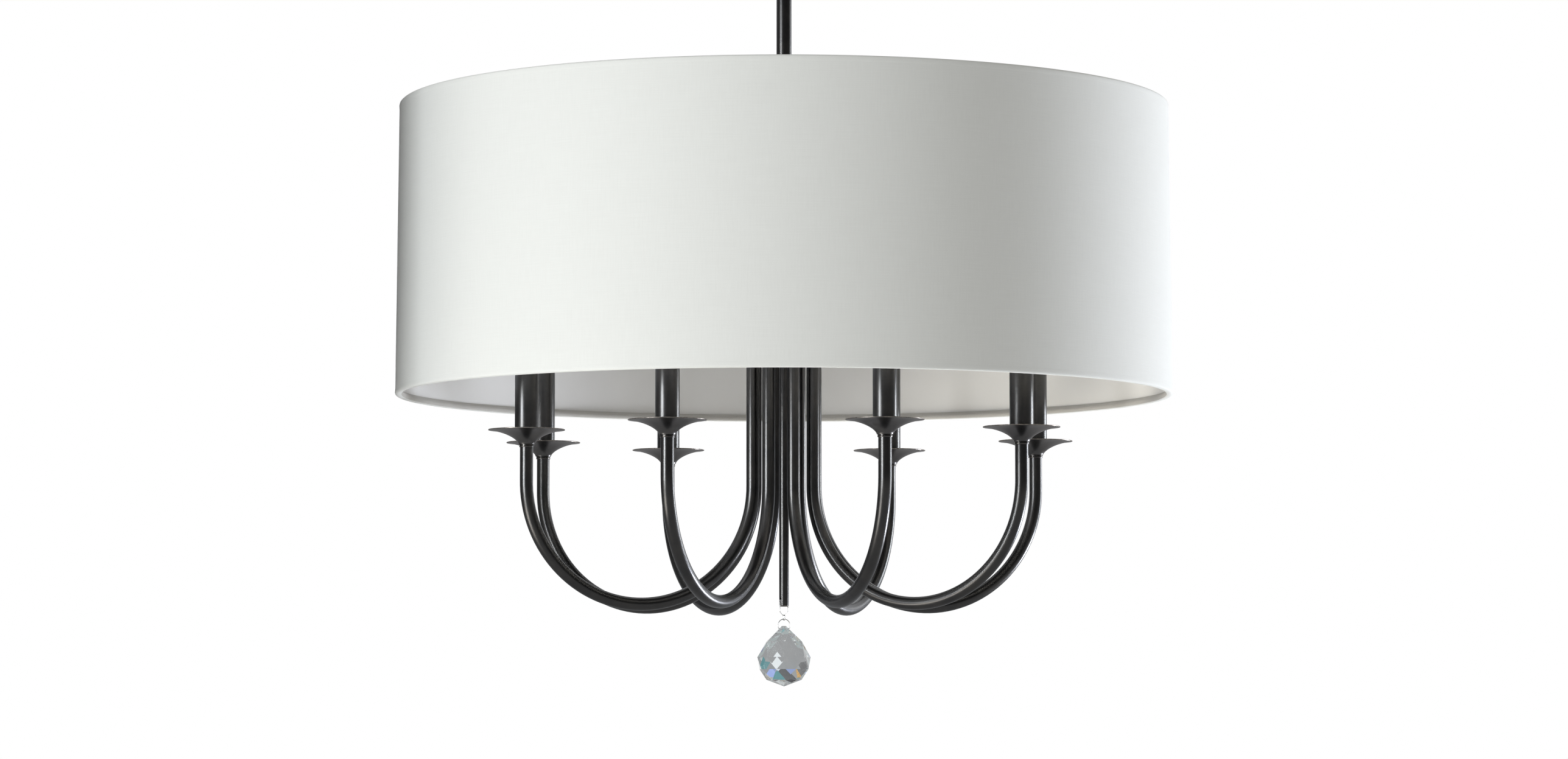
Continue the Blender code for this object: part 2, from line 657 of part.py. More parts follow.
def ring_outline(z):
    step = 2 * pi / WIRE_SIDES
    return [
        (ring_radius(z) + RING_WIRE_RADIUS * cos(step * k), z + RING_WIRE_RADIUS * sin(step * k))
        for k in range(WIRE_SIDES)
    ]


def spoke_ends(number):
    """A spoke runs from inside the washer up to the top ring's wire."""
    angle = radians(SPOKE_TURN_DEGREES) + number * 2 * pi / SPOKE_COUNT
    outward = Vector((cos(angle), sin(angle), 0))
    washer_z = (WASHER_TOP_Z + WASHER_BOTTOM_Z) / 2 - PIN_Z
    start = outward * (WASHER_RADIUS - SPOKE_RADIUS) + Vector((0, 0, washer_z))
    end = outward * ring_radius(TOP_RING_Z) + Vector((0, 0, TOP_RING_Z - PIN_Z))
    return start, end


def shade_fitter(frame):
    """Top ring, three spokes and the washer that hangs the shade, welded into one piece."""
    outline = collar_outline(WASHER_RADIUS, WASHER_BOTTOM_Z - PIN_Z, WASHER_TOP_Z - PIN_Z, PIPE_HOLE_RADIUS)
    mesh = mesh_from("shade_fitter", turned(outline, SMALL_SIDES))
    made = place("shade_fitter", mesh, PLATED_STEEL, frame)
    ring = tool("top_ring", shade_turned(ring_outline(TOP_RING_Z)), parent=frame)
    for number in range(SPOKE_COUNT):
        start, end = spoke_ends(number)
        spoke = rod_between(start, end, SPOKE_RADIUS, WIRE_SIDES)
        combine(made, tool(f"spoke_{number}", spoke, parent=frame), "UNION")
    combine(made, ring, "UNION")


def shade_hems(frame):
    bottom = shade_turned(hem_outline(SHADE_BOTTOM_Z, BOTTOM_RING_Z))
    place("shade_bottom_hem", mesh_from("shade_bottom_hem", bottom), SHADE_CLOTH, frame)
    top = shade_turned(hem_outline(SHADE_TOP_Z, TOP_RING_Z))
    made = place("shade_top_hem", mesh_from("shade_top_hem", top), SHADE_CLOTH, frame)
    for number in range(SPOKE_COUNT):
        start, end = spoke_ends(number)
        notch = rod_between(start, end, SPOKE_RADIUS + CLEARANCE, WIRE_SIDES)
        combine(made, tool(f"spoke_notch_{number}", notch, parent=frame), "DIFFERENCE")


def shade_bottom_ring(frame):
    ring = shade_turned(ring_outline(BOTTOM_RING_Z))
    place("shade_bottom_ring", mesh_from("shade_bottom_ring", ring), PLATED_STEEL, frame)


# Arms with their dishes, sleeves and sockets


def arm_angle(number):
    """Direction of an arm's root from the centre, counted about Z from +X."""
    spacing = 2 * pi / ARM_COUNT
    back_left = pi / 2 + spacing / 2
    return back_left + number * spacing + radians(ARM_RING_TURN_DEGREES)


def arm_root(number):
    angle = arm_angle(number)
    return Vector((cos(angle), sin(angle), 0)) * HUB_RING_RADIUS


def arm_mesh():
    """U-shaped tube in the XZ plane: inner leg at x = 0, outer leg at the arm's reach."""
    nut_bottom = PLATE_TOP_Z + CLEARANCE
    nut_top = nut_bottom + LOCK_NUT_HEIGHT
    bead_bottom = BEAD_TOP_Z - BEAD_HEIGHT
    stub_top = DISH_BOTTOM_Z + DISH_WALL + CLEARANCE + SOCKET_SPIGOT_LENGTH
    inner_end = [
        (nut_top + SPIGOT_ABOVE_NUT, PIPE_RADIUS), (nut_top, PIPE_RADIUS), (nut_top, LOCK_NUT_RADIUS),
        (nut_bottom, LOCK_NUT_RADIUS), (nut_bottom, PIPE_RADIUS), (ARM_TOP_Z, PIPE_RADIUS),
        (ARM_TOP_Z, ARM_TUBE_RADIUS),
    ]
    outer_end = [
        (bead_bottom, ARM_TUBE_RADIUS), (bead_bottom + BEAD_BEVEL, BEAD_RADIUS),
        (BEAD_TOP_Z - BEAD_BEVEL, BEAD_RADIUS), (BEAD_TOP_Z, ARM_TUBE_RADIUS), (BEAD_TOP_Z, PIPE_RADIUS),
        (stub_top, PIPE_RADIUS),
    ]
    bend = arc((BEND_RADIUS, BEND_TOP_Z), BEND_RADIUS, pi, 2 * pi, BEND_STEPS)
    stations = [(Vector((0, 0, z - PIN_Z)), r) for z, r in inner_end]
    stations += [(Vector((x, 0, z - PIN_Z)), ARM_TUBE_RADIUS) for x, z in bend]
    stations += [(Vector((ARM_REACH, 0, z - PIN_Z)), r) for z, r in outer_end]
    return mesh_from("arm", swept(stations, TUBE_SIDES, Vector((0, 1, 0))), SOFT_CREASE_DEGREES)


def flare(wall):
    """Trumpet profile of a dish, from its rim down to its base, set in by a wall."""
    points = []
    width = DISH_RADIUS - DISH_BASE_RADIUS
    height = DISH_HEIGHT - DISH_WALL
    for k in range(FLARE_STEPS + 1):
        angle = pi / 2 * k / FLARE_STEPS
        inset = sin(angle) ** (2 / DISH_FLARE_POWER)
        rise = cos(angle) ** (2 / DISH_FLARE_POWER) if k < FLARE_STEPS else 0
        radius = DISH_RADIUS - width * inset - wall * inset
        points.append((radius, DISH_BOTTOM_Z + height * rise + wall))
    return points


def sleeve_bottom():
    """Height at which the sleeve's foot fits the dish with its clearance."""
    foot_radius = SLEEVE_RADIUS + CLEARANCE
    inside = flare(DISH_WALL)
    for (r_high, z_high), (r_low, z_low) in zip(inside, inside[1:]):
        if r_low <= foot_radius <= r_high:
            return z_low + (z_high - z_low) * (foot_radius - r_low) / (r_high - r_low)
    return inside[-1][1]


def dish_mesh():
    outside = flare(0)
    inside = flare(DISH_WALL)
    outline = outside + [(PIPE_HOLE_RADIUS, DISH_BOTTOM_Z), (PIPE_HOLE_RADIUS, DISH_BOTTOM_Z + DISH_WALL)]
    outline += inside[::-1]
    bm = turned([(r, z - PIN_Z) for r, z in outline], DISH_SIDES)
    return mesh_from("drip_dish", bm, SOFT_CREASE_DEGREES)


def sleeve_mesh():
    foot = sleeve_bottom() - PIN_Z
    outline = collar_outline(SLEEVE_RADIUS, foot, foot + SLEEVE_HEIGHT, SLEEVE_RADIUS - SLEEVE_WALL)
    return mesh_from("candle_sleeve", turned(outline, SMALL_SIDES))


def socket_mesh():
    """A post on the arm's threaded end, with the lamp cup at the sleeve's top."""
    foot = DISH_BOTTOM_Z + DISH_WALL + CLEARANCE - PIN_Z
    top = sleeve_bottom() + SLEEVE_HEIGHT - PIN_Z
    cup_foot = top - SOCKET_CUP_HEIGHT
    cup_radius = SLEEVE_RADIUS - SLEEVE_WALL - CLEARANCE
    stub_end = foot + SOCKET_SPIGOT_LENGTH + CLEARANCE
    bore_floor = top - LAMP_BORE_DEPTH
    post_radius = DISH_BASE_RADIUS - DISH_WALL - 2 * CLEARANCE
    outline = [
        (0, stub_end), (PIPE_HOLE_RADIUS, stub_end), (PIPE_HOLE_RADIUS, foot), (post_radius, foot),
        (post_radius, cup_foot), (cup_radius, cup_foot), (cup_radius, top), (LAMP_BORE_RADIUS, top),
        (LAMP_BORE_RADIUS, bore_floor), (0, bore_floor),
    ]
    return mesh_from("lamp_socket", turned(outline, SOCKET_SIDES))


def arms(frame):
    arm = arm_mesh()
    dish = dish_mesh()
    sleeve = sleeve_mesh()
    socket = socket_mesh()
    for number in range(ARM_COUNT):
        root = axis_empty(f"arm_root_{number + 1}", arm_root(number), frame)
        swing = radians(ARM_SWING_DEGREES[number % len(ARM_SWING_DEGREES)])
        root.rotation_euler = (0, 0, arm_angle(number) + swing)
        place(f"arm_{number + 1}", arm, DARK_BRONZE, root)
        end = (ARM_REACH, 0, 0)
        place(f"drip_dish_{number + 1}", dish, DARK_BRONZE, root, end)
        place(f"candle_sleeve_{number + 1}", sleeve, DARK_BRONZE, root, end)
        place(f"lamp_socket_{number + 1}", socket, SOCKET_PLASTIC, root, end)


# Lower rod, wires and crystal


def lower_rod(frame):
    top = ROD_TOP_Z - PIN_Z
    end = ROD_END_Z - PIN_Z
    outline = [
        (0, end), (PIPE_RADIUS - ROD_CHAMFER, end), (PIPE_RADIUS, end + ROD_CHAMFER),
        (PIPE_RADIUS, top), (0, top),
    ]
    mesh = mesh_from("lower_rod", turned(outline, SMALL_SIDES))
    made = place("lower_rod", mesh, DARK_BRONZE, frame)
    angle = radians(CROSS_HOLE_TURN_DEGREES)
    along = Vector((cos(angle), sin(angle), 0)) * (PIPE_RADIUS + CUT_OVERRUN)
    middle = Vector((0, 0, ROD_HOLE_Z - PIN_Z))
    hole = rod_between(middle - along, middle + along, ROD_HOLE_RADIUS, SOCKET_SIDES)
    combine(made, tool("cross_hole", hole, parent=frame), "DIFFERENCE")


def rounded_path(corners, radius):
    """A closed path through (x, z) corners, each rounded by an arc of about the same radius."""
    path = []
    count = len(corners)
    for k, corner in enumerate(corners):
        here = Vector(corner)
        back = (Vector(corners[k - 1]) - here).normalized()
        ahead = (Vector(corners[(k + 1) % count]) - here).normalized()
        half = back.angle(ahead) / 2
        inward = (back + ahead).normalized()
        centre = here + inward * (radius / sin(half))
        reach = pi / 2 - half
        start = atan2(*(-inward).yx)
        turning = 1 if back.cross(ahead) < 0 else -1
        for step in range(WIRE_CORNER_STEPS + 1):
            angle = start + turning * reach * (2 * step / WIRE_CORNER_STEPS - 1)
            path.append(centre + Vector((cos(angle), sin(angle))) * radius)
    return path


def wire_loop(path):
    stations = [(Vector((x, 0, z)), WIRE_RADIUS) for x, z in path]
    return swept(stations, WIRE_SIDES, Vector((0, 1, 0)), closed=True)


def bail(pivot):
    """Closed wire through the rod's cross hole, with straight legs and a pointed foot."""
    corner_radius = BAIL_SIDE_CLEARANCE + WIRE_RADIUS
    corners = [
        (-BAIL_HALF_WIDTH, 0), (-BAIL_HALF_WIDTH, -BAIL_LEG_LENGTH),
        (0, -BAIL_LEG_LENGTH - BAIL_POINT_DROP), (BAIL_HALF_WIDTH, -BAIL_LEG_LENGTH), (BAIL_HALF_WIDTH, 0),
    ]
    loop = wire_loop(rounded_path(corners, corner_radius))
    turn = radians(CROSS_HOLE_TURN_DEGREES)
    place("hook_bail", mesh_from("hook_bail", loop, SOFT_CREASE_DEGREES), WIRE_STEEL, pivot, turn=turn)


def link(pivot):
    """Small oval link. Its origin is on the bail's foot."""
    top = LINK_TOP_Z - BAIL_POINT_Z - LINK_HALF_WIDTH
    bottom = LINK_BOTTOM_Z - BAIL_POINT_Z + LINK_HALF_WIDTH
    path = arc((0, top), LINK_HALF_WIDTH, 0, pi, LINK_END_STEPS)
    path += arc((0, bottom), LINK_HALF_WIDTH, pi, 2 * pi, LINK_END_STEPS)
    mesh = mesh_from("hook_link", wire_loop(path), SOFT_CREASE_DEGREES)
    place("hook_link", mesh, WIRE_STEEL, pivot, turn=radians(LINK_TURN_DEGREES))


def stirrup(pivot):
    """Wire stirrup through the crystal's cross hole. Its origin is where it hangs on the link."""
    shoulder = STIRRUP_TOP_Z - STIRRUP_HALF_WIDTH - LINK_BOTTOM_Z
    bar = STIRRUP_BAR_Z - LINK_BOTTOM_Z
    side = STIRRUP_HALF_WIDTH - STIRRUP_CORNER_RADIUS
    height = bar + STIRRUP_CORNER_RADIUS
    path = arc((0, shoulder), STIRRUP_HALF_WIDTH, 0, pi, STIRRUP_TOP_STEPS)
    path += arc((-side, height), STIRRUP_CORNER_RADIUS, pi, 3 * pi / 2, EDGE_STEPS)
    path += arc((side, height), STIRRUP_CORNER_RADIUS, 3 * pi / 2, 2 * pi, EDGE_STEPS)
    mesh = mesh_from("crystal_stirrup", wire_loop(path), SOFT_CREASE_DEGREES)
    place("crystal_stirrup", mesh, WIRE_STEEL, pivot)


def crystal(pivot):
    """Faceted drop: rows of eight points, each row turned half a step from the one below."""
    tip = CRYSTAL_TIP_Z - STIRRUP_BAR_Z
    bm = bmesh.new()
    bm.verts.new((0, 0, tip))
    step = 2 * pi / CRYSTAL_FOLD
    rows = zip(CRYSTAL_ROW_HEIGHT_SHARES, CRYSTAL_ROW_RADIUS_SHARES)
    for row, (height_share, radius_share) in enumerate(rows):
        radius = CRYSTAL_RADIUS * radius_share
        for k in range(CRYSTAL_FOLD):
            angle = step * (k + row % 2 / 2)
            bm.verts.new((radius * cos(angle), radius * sin(angle), tip + CRYSTAL_HEIGHT * height_share))
    bmesh.ops.convex_hull(bm, input=bm.verts)
    made = place("crystal_ball", mesh_from("crystal_ball", bm, FACET_CREASE_DEGREES), CRYSTAL, pivot)
    through = Vector((CRYSTAL_RADIUS, 0, 0))
    middle = Vector((0, 0, CRYSTAL_HOLE_Z - STIRRUP_BAR_Z))
    hole = rod_between(middle - through, middle + through, CRYSTAL_HOLE_RADIUS, TUBE_SIDES)
    combine(made, tool("crystal_hole", hole, parent=pivot), "DIFFERENCE")


def main():
    clear_scene()
    pin_at = (0, 0, PIN_Z)
    bail_at = (0, 0, BAIL_TOP_Z)
    link_at = (0, 0, BAIL_POINT_Z)
    stirrup_at = (0, 0, LINK_BOTTOM_Z)
    bar_at = (0, 0, STIRRUP_BAR_Z)
    turn_axis = axis_empty("swivel_turn_axis", pin_at)
    tilt_axis = axis_empty("swivel_tilt_axis", pin_at, turn_axis, pin_at)
    bail_axis = axis_empty("bail_axis", bail_at, tilt_axis, pin_at)
    link_axis = axis_empty("link_axis", link_at, bail_axis, bail_at)
    stirrup_axis = axis_empty("stirrup_axis", stirrup_at, link_axis, link_at)
    crystal_axis = axis_empty("crystal_axis", bar_at, stirrup_axis, stirrup_at)
    ceiling_end()
    swivel_fork(turn_axis)
    swivel_pin(turn_axis)
    swivel_tongue(tilt_axis)
    stem(tilt_axis)
    centre_pipe(tilt_axis)
    shade_nut(tilt_axis)
    shade_fitter(tilt_axis)
    shade_wall(tilt_axis)
    shade_hems(tilt_axis)
    shade_bottom_ring(tilt_axis)
    column(tilt_axis)
    hub_cover(tilt_axis)
    hub_plate(tilt_axis)
    arms(tilt_axis)
    lower_rod(tilt_axis)
    bail(bail_axis)
    link(link_axis)
    stirrup(stirrup_axis)
    crystal(crystal_axis)


main()
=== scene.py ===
import bmesh
import bpy
import json
import math
from mathutils import Matrix, Vector, noise


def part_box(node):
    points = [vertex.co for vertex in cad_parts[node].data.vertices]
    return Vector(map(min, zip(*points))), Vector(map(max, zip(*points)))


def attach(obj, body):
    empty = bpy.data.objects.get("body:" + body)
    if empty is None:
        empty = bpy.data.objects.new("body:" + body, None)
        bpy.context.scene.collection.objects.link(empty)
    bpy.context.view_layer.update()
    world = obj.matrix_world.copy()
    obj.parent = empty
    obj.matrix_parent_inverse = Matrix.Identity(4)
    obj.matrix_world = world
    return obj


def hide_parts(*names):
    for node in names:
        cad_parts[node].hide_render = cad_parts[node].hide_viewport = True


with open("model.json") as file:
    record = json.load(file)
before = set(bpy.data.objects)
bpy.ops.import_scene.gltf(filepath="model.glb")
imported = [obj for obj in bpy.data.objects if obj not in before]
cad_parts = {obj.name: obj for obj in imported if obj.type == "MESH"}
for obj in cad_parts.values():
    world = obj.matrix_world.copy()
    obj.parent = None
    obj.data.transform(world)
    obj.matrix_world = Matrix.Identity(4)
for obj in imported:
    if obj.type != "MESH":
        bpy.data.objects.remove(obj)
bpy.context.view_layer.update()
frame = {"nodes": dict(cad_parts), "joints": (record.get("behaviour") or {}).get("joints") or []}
print("frame loaded,", len(frame["nodes"]), "nodes")

fullTurn = 2 * math.pi
quarterTurn = math.pi / 2
millimetre = 0.001
armNames = [str(number) for number in range(1, 9)]


# Small helpers for nodes and materials


def feed(tree, node, sockets):
    # each named socket gets a link or a plain value
    for key, value in sockets.items():
        if isinstance(value, bpy.types.NodeSocket):
            tree.links.new(value, node.inputs[key])
        else:
            node.inputs[key].default_value = value


def addNode(tree, kind, sockets=None, **settings):
    node = tree.nodes.new(kind)
    for key, value in settings.items():
        setattr(node, key, value)
    feed(tree, node, sockets or {})
    return node


def mathNode(tree, operation, first, second=0.0, third=None, clamp=False):
    sockets = {0: first, 1: second}
    if third is not None:
        sockets[2] = third
    return addNode(tree, "ShaderNodeMath", sockets, operation=operation, use_clamp=clamp).outputs[0]


def mixColour(tree, factor, first, second, blend="MIX"):
    sockets = {"Factor": factor, 6: first, 7: second}
    return addNode(tree, "ShaderNodeMix", sockets, data_type="RGBA", blend_type=blend).outputs[2]


def mixShader(tree, factor, first, second):
    return addNode(tree, "ShaderNodeMixShader", {0: factor, 1: first, 2: second}).outputs[0]


def colourRamp(tree, factor, stops):
    ramp = addNode(tree, "ShaderNodeValToRGB", {"Fac": factor})
    points = ramp.color_ramp.elements
    while len(points) < len(stops):
        points.new(0.5)
    for point, (place, colour) in zip(points, stops):
        point.position = place
        point.color = (*colour, 1)
    return ramp.outputs["Color"]


def mapRange(tree, value, fromLow, fromHigh, toLow, toHigh):
    sockets = {"Value": value, "From Min": fromLow, "From Max": fromHigh, "To Min": toLow, "To Max": toHigh}
    return addNode(tree, "ShaderNodeMapRange", sockets).outputs["Result"]


def splitVector(tree, vector):
    return addNode(tree, "ShaderNodeSeparateXYZ", {"Vector": vector}).outputs


def mapped(tree, vector, **sockets):
    return addNode(tree, "ShaderNodeMapping", {"Vector": vector, **sockets}).outputs["Vector"]


def objectPlace(tree, scale=(1, 1, 1)):
    return mapped(tree, addNode(tree, "ShaderNodeTexCoord").outputs["Object"], Scale=scale)


def noiseNode(tree, place, scale, detail=3.0, roughness=0.5):
    sockets = {"Vector": place, "Scale": scale, "Detail": detail, "Roughness": roughness}
    return addNode(tree, "ShaderNodeTexNoise", sockets).outputs["Fac"]


def bumpInto(tree, shader, height, strength, distance):
    sockets = {"Height": height, "Strength": strength, "Distance": distance}
    feed(tree, shader, {"Normal": addNode(tree, "ShaderNodeBump", sockets).outputs["Normal"]})


def newMaterial(name):
    made = bpy.data.materials.new(name)
    made.use_nodes = True
    return made, made.node_tree, made.node_tree.nodes["Principled BSDF"]


def toneInto(tree, shader, tone, look, darkStop=0.3, paleStop=0.7):
    # colour and roughness follow one noise, from the look's dark and smooth to its pale and rough
    colour = colourRamp(tree, tone, [(darkStop, look["dark"]), (paleStop, look["pale"])])
    roughness = mapRange(tree, tone, darkStop, paleStop, look["smooth"], look["rough"])
    feed(tree, shader, {"Base Color": colour, "Roughness": roughness})


# Finishes


bronzeLook = {"dark": (0.078, 0.078, 0.080), "pale": (0.108, 0.105, 0.101), "worn": (0.50, 0.45, 0.40),
              "dishPaintedLight": 1.45, "tubeEdge": (0.95, 0.97, 1.0), "dishEdge": (0.96, 0.95, 0.96),
              "smooth": 0.27, "rough": 0.32, "patchScale": 42.0, "scuffScale": 300.0, "grainScale": 2600.0,
              "grain": 0.012, "grainDepth": 0.0004}


def satinBronze(name, edgeTint, lift=1.0):
    # dark gunmetal bronze: patchy patina, fine grain, and bare metal where the wear attribute says so
    made, tree, shader = newMaterial(name)
    look = bronzeLook
    place = objectPlace(tree)
    patches = noiseNode(tree, place, look["patchScale"], 5.0, 0.62)
    # lift above one makes a lighter copy of the bronze, which paints light on a part
    dark, pale = [tuple(part * lift for part in look[tone]) for tone in ("dark", "pale")]
    patina = colourRamp(tree, patches, [(0.30, dark), (0.72, pale)])
    grain = noiseNode(tree, place, look["grainScale"], 2.0)
    wear = addNode(tree, "ShaderNodeAttribute", attribute_name="wear").outputs["Fac"]
    scuffs = mapRange(tree, noiseNode(tree, place, look["scuffScale"], 4.0, 0.7), 0.38, 0.62, 0.25, 1.0)
    bare = mathNode(tree, "MULTIPLY", wear, scuffs, clamp=True)
    feed(tree, shader, {"Base Color": mixColour(tree, bare, patina, (*look["worn"], 1)),
                        "Roughness": mapRange(tree, patches, 0.25, 0.75, look["smooth"], look["rough"]),
                        "Metallic": 1.0, "Specular Tint": (*edgeTint, 1)})
    bumpInto(tree, shader, grain, look["grain"], look["grainDepth"])
    return made


steelLook = {"dark": (0.36, 0.37, 0.37), "pale": (0.52, 0.53, 0.52), "smooth": 0.28, "rough": 0.46,
             "crystalScale": 380.0, "grainScale": 1500.0, "grain": 0.06, "grainDepth": 0.0004}


def platedSteel():
    # zinc plate with the faint large crystals of the plating
    made, tree, shader = newMaterial("platedSteel")
    look = steelLook
    place = objectPlace(tree)
    sockets = {"Vector": place, "Scale": look["crystalScale"]}
    crystals = addNode(tree, "ShaderNodeTexVoronoi", sockets).outputs["Color"]
    toneInto(tree, shader, noiseNode(tree, crystals, 3.0, 1.0), look)
    feed(tree, shader, {"Metallic": 1.0})
    bumpInto(tree, shader, noiseNode(tree, place, look["grainScale"]), look["grain"], look["grainDepth"])
    return made


threadLook = {"shadedGroove": (0.16, 0.16, 0.16), "crest": (0.5, 0.5, 0.49), "rough": 0.38, "pitch": 0.0008,
              "ridge": 0.5, "ridgeDepth": 0.0002}


def threadedSteel():
    # plated rod whose thread shows as fine rings, with painted shade in the grooves
    made, tree, shader = newMaterial("threadedSteel")
    look = threadLook
    height = splitVector(tree, objectPlace(tree))["Z"]
    ridges = mathNode(tree, "SINE", mathNode(tree, "MULTIPLY", height, fullTurn / look["pitch"]))
    share = mapRange(tree, ridges, -1, 1, 0, 1)
    colour = colourRamp(tree, share, [(0.1, look["shadedGroove"]), (0.7, look["crest"])])
    feed(tree, shader, {"Base Color": colour, "Metallic": 1.0, "Roughness": look["rough"]})
    bumpInto(tree, shader, ridges, look["ridge"], look["ridgeDepth"])
    return made


brassLook = {"dark": (0.50, 0.35, 0.14), "pale": (0.70, 0.52, 0.25), "smooth": 0.22, "rough": 0.42,
             "scale": 420.0}


def brassShell():
    made, tree, shader = newMaterial("brassShell")
    toneInto(tree, shader, noiseNode(tree, objectPlace(tree), brassLook["scale"], 4.0), brassLook)
    feed(tree, shader, {"Metallic": 1.0})
    return made


phenolicLook = {"dark": (0.012, 0.012, 0.012), "pale": (0.030, 0.028, 0.026), "smooth": 0.36, "rough": 0.52,
                "scale": 260.0, "grainScale": 1800.0, "grain": 0.08, "grainDepth": 0.0003}


def blackPhenolic():
    made, tree, shader = newMaterial("blackPhenolic")
    look = phenolicLook
    place = objectPlace(tree)
    toneInto(tree, shader, noiseNode(tree, place, look["scale"], 4.0), look)
    bumpInto(tree, shader, noiseNode(tree, place, look["grainScale"]), look["grain"], look["grainDepth"])
    return made


wireLook = {"dark": (0.62, 0.62, 0.61), "pale": (0.80, 0.80, 0.79), "smooth": 0.16, "rough": 0.30,
            "stretch": (1, 1, 0.2), "scale": 2400.0}


def brightWire():
    # drawn wire, almost mirror bright, with fine draw marks
    made, tree, shader = newMaterial("brightWire")
    marks = noiseNode(tree, objectPlace(tree, wireLook["stretch"]), wireLook["scale"], 2.0)
    toneInto(tree, shader, marks, wireLook)
    feed(tree, shader, {"Metallic": 1.0})
    return made


# threads and rows are counted over the piece's whole UV map; the slubs are (round, up) counts on it
# the tape colours are greyer than the cloth's own: painted shade along the hems' inner tape
clothLook = {"pale": (0.782, 0.794, 0.772), "deep": (0.742, 0.752, 0.730), "threads": 5200, "rows": 620,
             "hemRows": 60, "shadedTapePale": (0.520, 0.508, 0.480), "shadedTapeDeep": (0.450, 0.437, 0.405),
             "upSlubs": (1700, 14), "sideSlubs": (60, 300), "threadShade": 0.35, "slubLift": 0.8,
             "rough": 0.92, "sheen": 0.15, "sheenRough": 0.5, "weave": 0.22, "weaveDepth": 0.00012}


def wovenCloth(name, rows, pale, deep):
    # plain weave on the piece's own UV map: warp and weft take turns on top, with slubs in both
    made, tree, shader = newMaterial(name)
    look = clothLook
    place = addNode(tree, "ShaderNodeUVMap", uv_map="cloth").outputs["UV"]
    parts = splitVector(tree, mapped(tree, place, Scale=(look["threads"], rows, 1)))
    across = mathNode(tree, "SINE", mathNode(tree, "MULTIPLY", parts["X"], math.pi))
    upward = mathNode(tree, "SINE", mathNode(tree, "MULTIPLY", parts["Y"], math.pi))
    onTop = mathNode(tree, "GREATER_THAN", mathNode(tree, "MULTIPLY", across, upward), 0.0)
    warp = mathNode(tree, "ABSOLUTE", across)
    weft = mathNode(tree, "ABSOLUTE", upward)
    height = addNode(tree, "ShaderNodeMix", {"Factor": onTop, 2: weft, 3: warp}, data_type="FLOAT").outputs[0]
    roundCount, upCount = look["sideSlubs"]
    upSlub = noiseNode(tree, mapped(tree, place, Scale=(*look["upSlubs"], 1)), 1.0, 2.0)
    sideScale = (roundCount, upCount * rows / look["rows"], 1)
    sideSlub = noiseNode(tree, mapped(tree, place, Scale=sideScale), 1.0, 2.0)
    slubs = mathNode(tree, "ADD", upSlub, sideSlub)
    slubShade = mapRange(tree, slubs, 0.6, 1.4, 0.0, 1 - look["threadShade"])
    # the threads' low parts are painted darker, a painted shade between threads; the slubs are the yarn's own
    # tone
    shade = mathNode(tree, "MULTIPLY_ADD", height, look["threadShade"], slubShade, clamp=True)
    feed(tree, shader, {"Base Color": colourRamp(tree, shade, [(0.0, deep), (0.85, pale)]),
                        "Roughness": look["rough"], "Sheen Weight": look["sheen"],
                        "Sheen Roughness": look["sheenRough"]})
    full = mathNode(tree, "MULTIPLY_ADD", slubs, look["slubLift"], height)
    bumpInto(tree, shader, full, look["weave"], look["weaveDepth"])
    return made


linerLook = {"dark": (0.800, 0.795, 0.780), "pale": (0.835, 0.832, 0.820), "rough": 0.55, "cloudScale": 9.0,
             "grainScale": 320.0, "grain": 0.10, "grainDepth": 0.0003}


def shadeLiner():
    # smooth white liner, with faint clouding and a thin shine
    made, tree, shader = newMaterial("shadeLiner")
    look = linerLook
    place = objectPlace(tree)
    clouds = noiseNode(tree, place, look["cloudScale"], 4.0, 0.55)
    feed(tree, shader, {"Base Color": colourRamp(tree, clouds, [(0.3, look["dark"]), (0.7, look["pale"])]),
                        "Roughness": look["rough"]})
    bumpInto(tree, shader, noiseNode(tree, place, look["grainScale"]), look["grain"], look["grainDepth"])
    return made


crystalLook = {"bend": 1.43, "clear": (0.985, 0.99, 0.99), "deep": (0.955, 0.97, 0.975), "streakScale": 90.0,
               "stretch": (1, 1, 0.3), "turns": 3.5, "glow": 0.15, "glowColour": (0.90, 1.0, 1.0)}


def cutCrystal():
    # clear glass with the faintest streaks in it
    made, tree, shader = newMaterial("cutCrystal")
    look = crystalLook
    streaks = noiseNode(tree, objectPlace(tree, look["stretch"]), look["streakScale"], 2.0)
    # painted glow: where light has turned many times inside, the glass gives off a pale grey, so that the
    # light is not lost
    turns = addNode(tree, "ShaderNodeLightPath").outputs["Ray Depth"]
    many = mathNode(tree, "GREATER_THAN", turns, look["turns"])
    colour = colourRamp(tree, streaks, [(0.35, look["deep"]), (0.65, look["clear"])])
    feed(tree, shader, {"Base Color": colour,
                        "Roughness": 0.0, "IOR": look["bend"], "Transmission Weight": 1.0,
                        "Emission Strength": mathNode(tree, "MULTIPLY", many, look["glow"]),
                        "Emission Color": (*look["glowColour"], 1)})
    return made


bronze = satinBronze("satinBronze", bronzeLook["tubeEdge"])
# the dishes get a lighter copy of the same bronze: painted light on their undersides
dishBronze = satinBronze("dishBronze", bronzeLook["dishEdge"], bronzeLook["dishPaintedLight"])
plated = platedSteel()
threaded = threadedSteel()
brass = brassShell()
phenolic = blackPhenolic()
wire = brightWire()
clothFace = wovenCloth("shadeCloth", clothLook["rows"], clothLook["pale"], clothLook["deep"])
clothHem = wovenCloth("hemCloth", clothLook["hemRows"], clothLook["pale"], clothLook["deep"])
# the hems' inner tape is the shade's cloth painted greyer, a painted shade at the shade's foot
hemTape = wovenCloth("hemTape", clothLook["hemRows"], clothLook["shadedTapePale"], clothLook["shadedTapeDeep"])
liner = shadeLiner()
crystalGlass = cutCrystal()
print("finishes made")


# Small helpers for meshes


